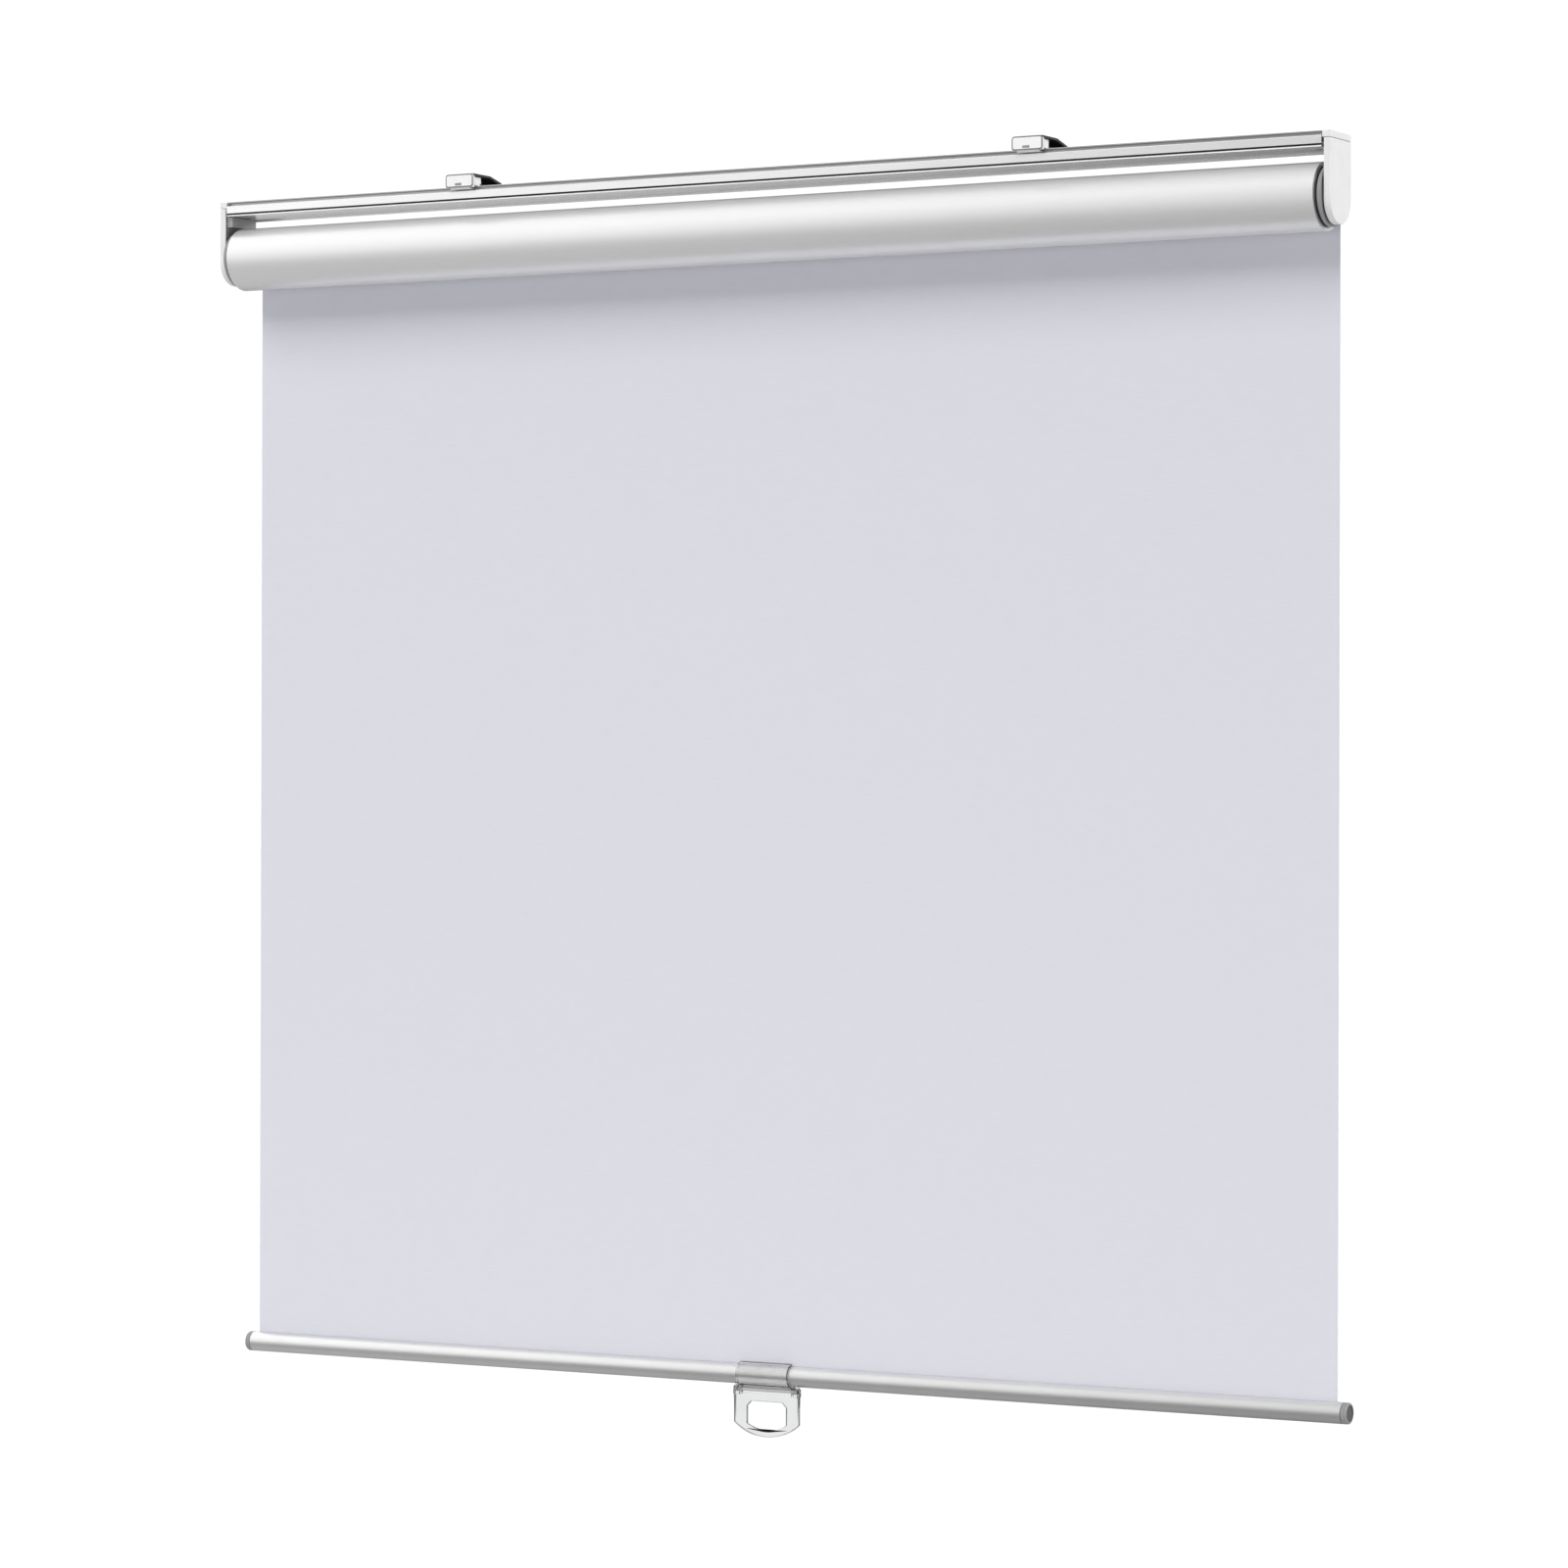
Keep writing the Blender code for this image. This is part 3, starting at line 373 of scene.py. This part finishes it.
# Painted shade: the seam groove in the rail's front is painted near black.
RAIL_SEAM_SHADE = drawn_metal("rail_seam_painted_shade", (0.02, 0.02, 0.022), 0.5, 0.0)
WHITE_PLASTIC = moulded("white_plastic", (0.85, 0.85, 0.85), 0.32)
LATCH_WHITE = moulded("latch_white", (0.97, 0.97, 0.97), 0.28)
CLEAR = moulded("clear_plastic", (0.79, 0.795, 0.80), 0.03, clear=1.0, ior=1.49)
CLEAR_SHELL = moulded("clear_shell", (0.985, 0.985, 0.985), 0.03, clear=1.0, ior=1.49)
# Painted shade: the edges of the clear clip and loop, and the hinge rod, are tinted darker.
CLEAR_EDGE_SHADE = moulded("clear_plastic_edge_painted_shade", (0.46, 0.46, 0.47), 0.05, clear=1.0, ior=1.49)
GREY_PLASTIC = moulded("grey_plastic", (0.30, 0.30, 0.305), 0.30)
FLOOR = moulded("pale_floor", (0.80, 0.80, 0.80), 0.7, grain=3 * MM)
BRACKET_STEEL = drawn_metal("bracket_steel", (0.40, 0.40, 0.405), 0.4, 0.5, streak=0.4 * MM)
# Painted shade: the flanges' grooves, and the bottom caps' faces inside their rims.
DARK_PLASTIC_SHADE = moulded("dark_plastic_painted_shade", (0.10, 0.10, 0.105), 0.42)
# Painted shade: a dark rim round the face of each latch.
CLIP_EDGE_SHADE = moulded("clip_edge_painted_shade", (0.20, 0.20, 0.21), 0.35)
# Painted shade: the grey pad on each latch, in place of a recess's shade.
CLIP_RECESS_SHADE = moulded("clip_recess_painted_shade", (0.32, 0.32, 0.33), 0.5)
# Painted shade: the clip plates are steel, painted near black where they lie in shadow.
CLIP_STEEL_SHADE = drawn_metal("clip_steel_painted_shade", (0.018, 0.018, 0.02), 0.42, 0.0)
ZINC = drawn_metal("zinc_steel", (0.50, 0.51, 0.53), 0.34, 1.0, streak=0.4 * MM)
SPRING = drawn_metal("spring_steel", (0.26, 0.26, 0.28), 0.28, 1.0)
ANODISED = drawn_metal("satin_aluminium", (0.84, 0.84, 0.835), 0.34, 0.92, depth=0.0015 * MM)
TUBE_METAL = drawn_metal("mill_aluminium", (0.66, 0.67, 0.68), 0.35, 1.0)
CLOTH_FACE = woven("cloth_face", (0.74, 0.74, 0.81), 0.85)
# The reverse is coated, which gives it a silvery gloss.
CLOTH_BACK = woven("cloth_reverse", (0.86, 0.86, 0.86), 0.32, depth=0.012 * MM, metal=0.5)


# Shape helpers --------------------------------------------------------------------------
def show(name, mesh, finishes, body, slot, *nodes):
    """Add a finished mesh, on a body, standing for the CAD nodes named."""
    made = bpy.data.objects.new(name, mesh)
    bpy.context.scene.collection.objects.link(made)
    for finish in finishes:
        mesh.materials.append(finish)
    if body:
        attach(made, body)
    if nodes:
        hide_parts(*nodes)
    flat = made.modifiers.new("flat_faces", "WEIGHTED_NORMAL")
    flat.keep_sharp = True
    return made


def finished(work, sharp=35.0):
    """A smooth-shaded mesh from a bmesh, creased where faces meet sharply."""
    bmesh.ops.recalc_face_normals(work, faces=work.faces)
    mesh = bpy.data.meshes.new("shape")
    work.to_mesh(mesh)
    work.free()
    mesh.shade_smooth()
    mesh.set_sharp_from_angle(angle=math.radians(sharp))
    return mesh


def eased(points, radius, segments=3):
    """The outline with each clear corner rounded, within the room its edges leave."""
    made = []
    count = len(points)
    for step in range(count):
        before, here, after = (Vector(points[(step + turn) % count]) for turn in (-1, 0, 1))
        into, out = (before - here), (after - here)
        if into.length < 1e-7 or out.length < 1e-7:
            continue
        bend = math.pi - into.angle(out)
        reach = min(radius * math.tan(bend / 2), into.length * 0.45, out.length * 0.45)
        if bend < math.radians(20) or reach < 1e-6:
            made.append(tuple(here))
            continue
        first = here + into.normalized() * reach
        last = here + out.normalized() * reach
        for part in range(segments + 1):
            share = part / segments
            a = first.lerp(here, share)
            b = here.lerp(last, share)
            made.append(tuple(a.lerp(b, share)))
    return made


def filled(outlines, thickness):
    """A flat outline with holes, filled and drawn out, as a bmesh in its own X and Y."""
    curve = bpy.data.curves.new("outline", "CURVE")
    curve.dimensions = "2D"
    curve.fill_mode = "BOTH"
    curve.extrude = thickness / 2
    for points in outlines:
        spline = curve.splines.new("POLY")
        spline.points.add(len(points) - 1)
        for target, (across, up) in zip(spline.points, points):
            target.co = (across, up, 0.0, 1.0)
        spline.use_cyclic_u = True
    guide = bpy.data.objects.new("outline", curve)
    bpy.context.scene.collection.objects.link(guide)
    graph = bpy.context.evaluated_depsgraph_get()
    mesh = bpy.data.meshes.new_from_object(guide.evaluated_get(graph))
    bpy.data.objects.remove(guide)
    bpy.data.curves.remove(curve)
    work = bmesh.new()
    work.from_mesh(mesh)
    bpy.data.meshes.remove(mesh)
    bmesh.ops.remove_doubles(work, verts=work.verts, dist=SAME_PLACE)
    bmesh.ops.dissolve_limit(
        work, angle_limit=math.radians(0.5), verts=work.verts, edges=work.edges
    )
    return work


def along_y(work, low, high):
    """Stand a drawn-out X and Z outline along Y, from low to high."""
    for vertex in work.verts:
        across, up, out = vertex.co
        vertex.co = (across, (low + high) / 2 - out, up)
    return work


def bevelled(work, width, sharp=30.0, segments=2):
    """Round the edges of a bmesh that are sharper than an angle."""
    edges = [
        edge
        for edge in work.edges
        if len(edge.link_faces) == 2 and edge.calc_face_angle(0.0) > math.radians(sharp)
    ]
    bmesh.ops.bevel(
        work,
        geom=edges,
        offset=width,
        offset_type="OFFSET",
        segments=segments,
        profile=0.5,
        affect="EDGES",
        clamp_overlap=True,
    )
    return work


def turned(profile, segments=64):
    """A closed (x, radius) profile turned round the X axis."""
    work = bmesh.new()
    rings = []
    for step in range(segments):
        angle = math.tau * step / segments
        rings.append(
            [work.verts.new((x, r * math.cos(angle), r * math.sin(angle))) for x, r in profile]
        )
    count = len(profile)
    for step in range(segments):
        ring, following = rings[step], rings[(step + 1) % segments]
        for part in range(count):
            after = (part + 1) % count
            work.faces.new((ring[part], ring[after], following[after], following[part]))
    bmesh.ops.remove_doubles(work, verts=work.verts, dist=SAME_PLACE)
    bmesh.ops.dissolve_degenerate(work, edges=work.edges, dist=1e-8)
    return work


def moved(work, offset):
    bmesh.ops.translate(work, verts=work.verts, vec=offset)
    return work


def as_built(node):
    """The CAD node's own shape."""
    work = bmesh.new()
    work.from_mesh(frame["nodes"][node].data)
    bmesh.ops.remove_doubles(work, verts=work.verts, dist=SAME_PLACE)
    return work


def flattened(work):
    """Merge the triangles of each flat face."""
    bmesh.ops.dissolve_limit(
        work, angle_limit=math.radians(1.0), verts=work.verts, edges=work.edges
    )
    return work


def refined(node, width=0.0):
    """The CAD node's own shape, with flats merged, and its edges rounded where a width is given."""
    work = flattened(as_built(node))
    return bevelled(work, width) if width else work


FLANGE_STEP = 1.0 * MM  # the flange's rim stands at least this far out from the tube


def grooved(work, low, high, share):
    """Sink the round rim between two places along X to a share of its radius about the roller."""
    for place in (low, high):
        everything = list(work.verts) + list(work.edges) + list(work.faces)
        bmesh.ops.bisect_plane(
            work, geom=everything, plane_co=(place, 0.0, 0.0), plane_no=(1.0, 0.0, 0.0)
        )
    rim = [
        face
        for face in work.faces
        if low < face.calc_center_median().x < high
        and abs(face.normal.x) < 0.1
        and math.hypot(face.calc_center_median().y, face.calc_center_median().z - AXIS_Z)
        > TUBE_RADIUS + FLANGE_STEP
    ]
    made = bmesh.ops.extrude_face_region(work, geom=rim)["geom"]
    bmesh.ops.delete(work, geom=rim, context="FACES")
    for vertex in (part for part in made if isinstance(part, bmesh.types.BMVert)):
        vertex.co.y *= share
        vertex.co.z = AXIS_Z + (vertex.co.z - AXIS_Z) * share
    return work


# Head rail ------------------------------------------------------------------------------
def build_rail():
    """The CAD section with its corners rounded, and its front painted by height: painted shade in
    the recess and in the seam, painted highlight on the strip below the recess and on the lip.
    """
    mesh = finished(refined("head_rail", 0.12 * MM))
    finishes = [LACQUER, RAIL_EDGE_HIGHLIGHT, RAIL_RECESS_SHADE, RAIL_SEAM_SHADE]
    edge, recess, seam = 1, 2, 3
    rail = show("head_rail_extrusion", mesh, finishes, "headrail", "white_metal", "head_rail")
    recess_low = rail_high.z - 2.85 * MM
    recess_lip = recess_low - 0.4 * MM
    seam_high, seam_low = RAIL_BOTTOM + 2.05 * MM, RAIL_BOTTOM + 0.75 * MM
    front_depth, recess_depth, seam_depth = 5.0 * MM, 0.35 * MM, 0.1 * MM
    for face in rail.data.polygons:
        y, z = face.center.y, face.center.z
        if y > -RAIL_HALF + front_depth or abs(face.normal.x) > 0.7:
            continue
        # The recess gets painted shade.
        if z > recess_low and y > -RAIL_HALF + recess_depth:
            face.material_index = recess
        # The strip under the recess gets a painted highlight.
        elif z > recess_lip:
            face.material_index = edge
        # The seam gets painted shade.
        elif seam_low < z < seam_high and y > -RAIL_HALF + seam_depth:
            face.material_index = seam
        # The lip below the seam gets a painted highlight.
        elif z < seam_low and face.normal.y < -0.3:
            face.material_index = edge


# Ends -----------------------------------------------------------------------------------
def build_ends():
    for word in ("left", "right"):
        for piece, width, finish, slot in (
            ("bracket", 0.25 * MM, BRACKET_STEEL, "steel"),
            ("cover", 0.5 * MM, WHITE_PLASTIC, "white_plastic"),
            ("rail_cap", 0.35 * MM, WHITE_PLASTIC, "white_plastic"),
            ("rail_screw", 0.1 * MM, ZINC, "steel"),
        ):
            node = f"{word}_{piece}"
            work = refined(node, width)
            show(f"{node}_shell", finished(work), [finish], "headrail", slot, node)


# Clips ----------------------------------------------------------------------------------
LATCH_CORNER = 2.2 * MM


def build_clips():
    for word in ("left", "right"):
        body = f"{word}_clip_body"
        work = refined(body, 0.2 * MM)
        # The clip plate gets the near-black painted shade.
        show(f"{body}_plate", finished(work), [CLIP_STEEL_SHADE], "headrail", "dark_steel", body)
        latch = f"{word}_clip_latch"
        low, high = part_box(latch)
        work = refined(latch, 0.3 * MM)
        rides, slot = f"{word}_latch", "frosted_plastic"
        show(f"{latch}_face", finished(work), [WHITE_PLASTIC], rides, slot, latch)
        middle, half = (low.x + high.x) / 2, (high.x - low.x) / 2
        floor, top = low.z + 1.1 * MM, high.z
        for tag, inset, depth, finish in (
            # The rim is a dark outline of painted shade round the face.
            ("rim", 0.05 * MM, 0.15 * MM, CLIP_EDGE_SHADE),
            ("panel", 0.9 * MM, 0.35 * MM, LATCH_WHITE),
        ):
            left, right = middle - half + inset, middle + half - inset
            lower, upper = floor + inset, top - inset
            corners = [(left, lower), (right, lower), (right, upper), (left, upper)]
            panel = eased(corners, LATCH_CORNER - inset, 5)
            plate = bevelled(along_y(filled([panel], depth), low.y - depth, low.y), 0.05 * MM)
            show(f"{latch}_{tag}", finished(plate), [finish], rides, slot)
        # A grey pad of painted shade, standing for a plain recess, a little left of the middle.
        left, right = middle - 3.2 * MM, middle + 1.8 * MM
        lower, upper = floor + 1.4 * MM, floor + 3.0 * MM
        corners = [(left, lower), (right, lower), (right, upper), (left, upper)]
        outline = eased(corners, 0.3 * MM)
        pad = along_y(filled([outline], 0.1 * MM), low.y - 0.4 * MM, low.y - 0.3 * MM)
        show(f"{latch}_recess", finished(pad), [CLIP_RECESS_SHADE], rides, slot)


# Cloth ----------------------------------------------------------------------------------
WINDING_START = 0.3 * MM  # the first turn's stand-off from the tube
WINDING_PITCH = 1.02  # of the cloth's thickness, from turn to turn
WOUND_THICKNESS = 0.96  # of the cloth's, so that the turns stay apart
SHEET_GAP = 0.02 * MM  # between the roll and the cloth that leaves it


def build_roll():
    """The wound cloth as one spiral, from the tube to the last turn."""
    pitch = CLOTH_THICKNESS * WINDING_PITCH
    turns = (ROLL_RADIUS - TUBE_RADIUS - WINDING_START) / pitch
    per_turn = 96
    steps = int(turns * per_turn)
    inner_start = TUBE_RADIUS + WINDING_START
    thickness = CLOTH_THICKNESS * WOUND_THICKNESS
    work = bmesh.new()
    rows = []
    for step in range(steps + 1):
        angle = math.tau * (step - steps) / per_turn
        radius = inner_start + pitch * step / per_turn
        across, up = math.cos(angle), math.sin(angle)
        row = []
        for side in (-CLOTH_END, CLOTH_END):
            for reach in (radius, radius + thickness):
                row.append(work.verts.new((side, reach * across, AXIS_Z + reach * up)))
        rows.append(row)
    for now, following in zip(rows, rows[1:]):
        for a, b in ((0, 1), (1, 3), (3, 2), (2, 0)):
            work.faces.new((now[a], now[b], following[b], following[a]))
    for row in (rows[0], rows[-1]):
        work.faces.new((row[0], row[1], row[3], row[2]))
    roll = show(
        "wound_cloth", finished(work, 50.0), [CLOTH_BACK], "roller", "cloth_reverse", "cloth_roll"
    )


def build_sheet():
    """The hanging cloth, from where it lies on the roll down into the bottom rail."""
    top_arc = 40
    arc_steps = 10
    drop_steps = 90
    columns = 40
    near = ROLL_RADIUS + SHEET_GAP
    far = near + CLOTH_THICKNESS
    path = []
    for step in range(arc_steps):
        angle = math.radians(top_arc * (1 - step / arc_steps))
        path.append((math.cos(angle), AXIS_Z, math.sin(angle)))
    bottom = sheet_low.z
    for step in range(drop_steps + 1):
        path.append((1.0, AXIS_Z + (bottom - AXIS_Z) * step / drop_steps, 0.0))
    lean = SHEET_Y - CLOTH_THICKNESS / 2 - near
    work = bmesh.new()
    front, back = [], []
    for across, base, lift in path:
        share = (AXIS_Z - base) / (AXIS_Z - bottom)
        shift = lean * share
        for rows, reach in ((front, near), (back, far)):
            row = []
            for column in range(columns + 1):
                x = -CLOTH_END + 2 * CLOTH_END * column / columns
                row.append(work.verts.new((x, reach * across + shift, base + reach * lift)))
            rows.append(row)
    for rows, index in ((front, 0), (back, 1)):
        for upper, lower in zip(rows, rows[1:]):
            for column in range(columns):
                face = work.faces.new(
                    (upper[column], upper[column + 1], lower[column + 1], lower[column])
                )
                face.material_index = index
    for one, two in ((front[0], back[0]), (front[-1], back[-1])):
        for column in range(columns):
            work.faces.new((one[column], one[column + 1], two[column + 1], two[column]))
    for column in (0, columns):
        for upper, lower, behind, below in zip(front, front[1:], back, back[1:]):
            work.faces.new((upper[column], lower[column], below[column], behind[column]))
    sheet = show(
        "hanging_cloth", finished(work, 50.0), [CLOTH_FACE, CLOTH_BACK], None, "cloth"
    )
    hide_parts("fabric_sheet")
    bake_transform(sheet)


# Bottom rail ----------------------------------------------------------------------------
CAP_RIM = 1.5 * MM  # width of a cap's rim


def build_bottom():
    work = refined("bottom_rail", 0.15 * MM)
    show("bottom_rail_tube", finished(work), [ANODISED], "bottom", "aluminium", "bottom_rail")
    for word, side in (("left", -1), ("right", 1)):
        node = f"{word}_bottom_cap"
        low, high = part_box(node)
        outer = high.x if side > 0 else -low.x
        inner = low.x if side > 0 else -high.x
        seat = BOTTOM_END + 0.3 * MM
        radius = BOTTOM_RADIUS
        bore = radius - CAP_RIM
        profile = [
            (inner, 0.0),
            (inner, bore - 0.4 * MM),
            (inner + 0.6 * MM, bore),
            (seat, bore),
            (seat, radius - 0.2 * MM),
            (seat + 0.2 * MM, radius),
            (outer - 0.8 * MM, radius),
            (outer - 0.3 * MM, radius - 0.25 * MM),
            (outer, radius - 0.8 * MM),
            (outer, radius - CAP_RIM),
            (outer - 0.5 * MM, radius - 1.8 * MM),
            (outer - 0.5 * MM, 0.0),
        ]
        work = turned([(side * x, r) for x, r in profile])
        moved(work, (0.0, HINGE_Y, BOTTOM_Z))
        finishes = [DARK_PLASTIC_SHADE, GREY_PLASTIC]
        cap = show(f"{node}_face", finished(work), finishes, "bottom", "grey_plastic", node)
        # The face inside the rim is painted dark as painted shade; the rim keeps the cap's grey.
        for face in cap.data.polygons:
            middle = face.center
            reach = math.hypot(middle.y - HINGE_Y, middle.z - BOTTOM_Z)
            face.material_index = int(reach > radius - CAP_RIM - 0.1 * MM)


# Handle ---------------------------------------------------------------------------------
CLIP_WALL = 1.3 * MM  # the least distance of the clip's outer skin from the bottom rail
CLIP_ROD_DROP = 1.8 * MM  # below the bottom rail, the faces are the hinge rod's
LOOP_PLATE_TOP = 8 * MM  # below the hinge, clear of the loop's ears


def panelled(work, faces, border, depth):
    """Sink a region of faces, and leave a raised border round it."""
    bmesh.ops.inset_region(
        work, faces=faces, thickness=border, depth=-depth, use_even_offset=True, use_boundary=True
    )
    return work


def outward_on_clip(face):
    """Whether a face lies on the outer skin of the snap-on clip."""
    middle = face.calc_center_median()
    away = Vector((0.0, middle.y - HINGE_Y, middle.z - BOTTOM_Z))
    on_skin = away.length > BOTTOM_RADIUS + CLIP_WALL and middle.z > BOTTOM_Z - BOTTOM_RADIUS
    return on_skin and face.normal.dot(away.normalized()) > 0.95


def build_handle():
    """The clear snap-on clip and pull loop, with raised borders, and painted shade on their edges
    and on the hinge rod.
    """
    work = refined("handle_clip")
    skin = [face for face in work.faces if outward_on_clip(face)]
    bevelled(panelled(work, skin, 0.55 * MM, 0.35 * MM), 0.12 * MM)
    clip = show(
        "handle_clip_shell",
        finished(work),
        [CLEAR_SHELL, CLEAR_EDGE_SHADE],
        "bottom",
        "clear_plastic",
        "handle_clip",
    )
    # The clip's edges, and the hinge rod below the rail, get painted shade.
    for face in clip.data.polygons:
        away = Vector((0.0, face.center.y - HINGE_Y, face.center.z - BOTTOM_Z))
        on_rod = face.center.z < BOTTOM_Z - BOTTOM_RADIUS - CLIP_ROD_DROP
        face.material_index = int(on_rod or abs(face.normal.dot(away.normalized())) < 0.8)

    work = as_built("handle_loop")
    plate = [vertex.co.y for vertex in work.verts if vertex.co.z < HINGE_Z - LOOP_PLATE_TOP]
    for level, facing in ((min(plate), -1), (max(plate), 1)):
        flat = [
            face
            for face in work.faces
            if face.normal.y * facing > 0.99 and abs(face.calc_center_median().y - level) < 0.05 * MM
        ]
        panelled(work, flat, 1.2 * MM, 0.4 * MM)
    bevelled(flattened(work), 0.14 * MM)
    loop = show(
        "handle_loop_body",
        finished(work),
        [CLEAR, CLEAR_EDGE_SHADE],
        "handle",
        "clear_plastic",
        "handle_loop",
    )
    # The loop's edges get painted shade.
    for face in loop.data.polygons:
        face.material_index = int(abs(face.normal.y) < 0.8 and face.normal.z < 0.5)


# Pieces kept from the CAD ---------------------------------------------------------------
KEPT = {
    "motor_spindle": ZINC,
    "spindle_circlip": SPRING,
    "brake_drum": ZINC,
    "brake_spring": SPRING,
    "spring_anchor": GREY_PLASTIC,
    "torsion_spring": SPRING,
    "drive_plug": GREY_PLASTIC,
    "hub_bush": WHITE_PLASTIC,
    "roller_tube": TUBE_METAL,
    "idler_pin": ZINC,
    "hem_strip": WHITE_PLASTIC,
}


GROOVE_NEAR, GROOVE_FAR = 0.8 * MM, 2.0 * MM  # edges of a flange's groove, from the cloth's end
GROOVE_SHARE = 0.92  # of the flange's radius, at the foot of the groove


def finish_kept():
    for node, finish in KEPT.items():
        mesh = frame["nodes"][node].data
        mesh.materials.clear()
        mesh.materials.append(finish)


def build_idler_spring():
    """The idler's spring, between its seat in the plug and the sprung pin, as the CAD shapes it."""
    mesh = finished(as_built("idler_spring"))
    coil = show("idler_spring_coil", mesh, [SPRING], None, "spring_steel")
    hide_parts("idler_spring")
    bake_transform(coil)


def build_flanges():
    """The plugs at the roller's ends, with a groove round each flange, darkened with painted shade.
    """
    for node, side in (("motor_hub", 1), ("idler_plug", -1)):
        low, high = sorted(side * (CLOTH_END + edge) for edge in (GROOVE_NEAR, GROOVE_FAR))
        work = bevelled(grooved(refined(node), low, high, GROOVE_SHARE), 0.2 * MM)
        flange = show(
            f"{node}_flange",
            finished(work),
            [GREY_PLASTIC, DARK_PLASTIC_SHADE],
            "roller",
            "grey_plastic",
            node,
        )
        # The groove, and the plug inboard of it, get painted shade.
        for face in flange.data.polygons:
            face.material_index = int(abs(face.center.x) < CLOTH_END + GROOVE_FAR)


bpy.context.scene.view_settings.view_transform = "Standard"
build_camera()
build_world()
build_floor()
area_light("key", 12.0, 47.0, 12.0, (8.0, 6.4), 830.0, mirrored=False)
area_light("side", -97.0, 12.0, 6.0, (4.0, 4.0), 225.0)
area_light("fill", 10.0, -12.0, 8.0, (6.0, 5.0), 222.0, mirrored=False)
area_light("back", 205.0, 30.0, 10.0, (8.0, 6.0), 420.0, mirrored=False)
build_rail()
build_ends()
build_clips()
build_roll()
build_sheet()
build_bottom()
build_handle()
finish_kept()
build_idler_spring()
build_flanges()
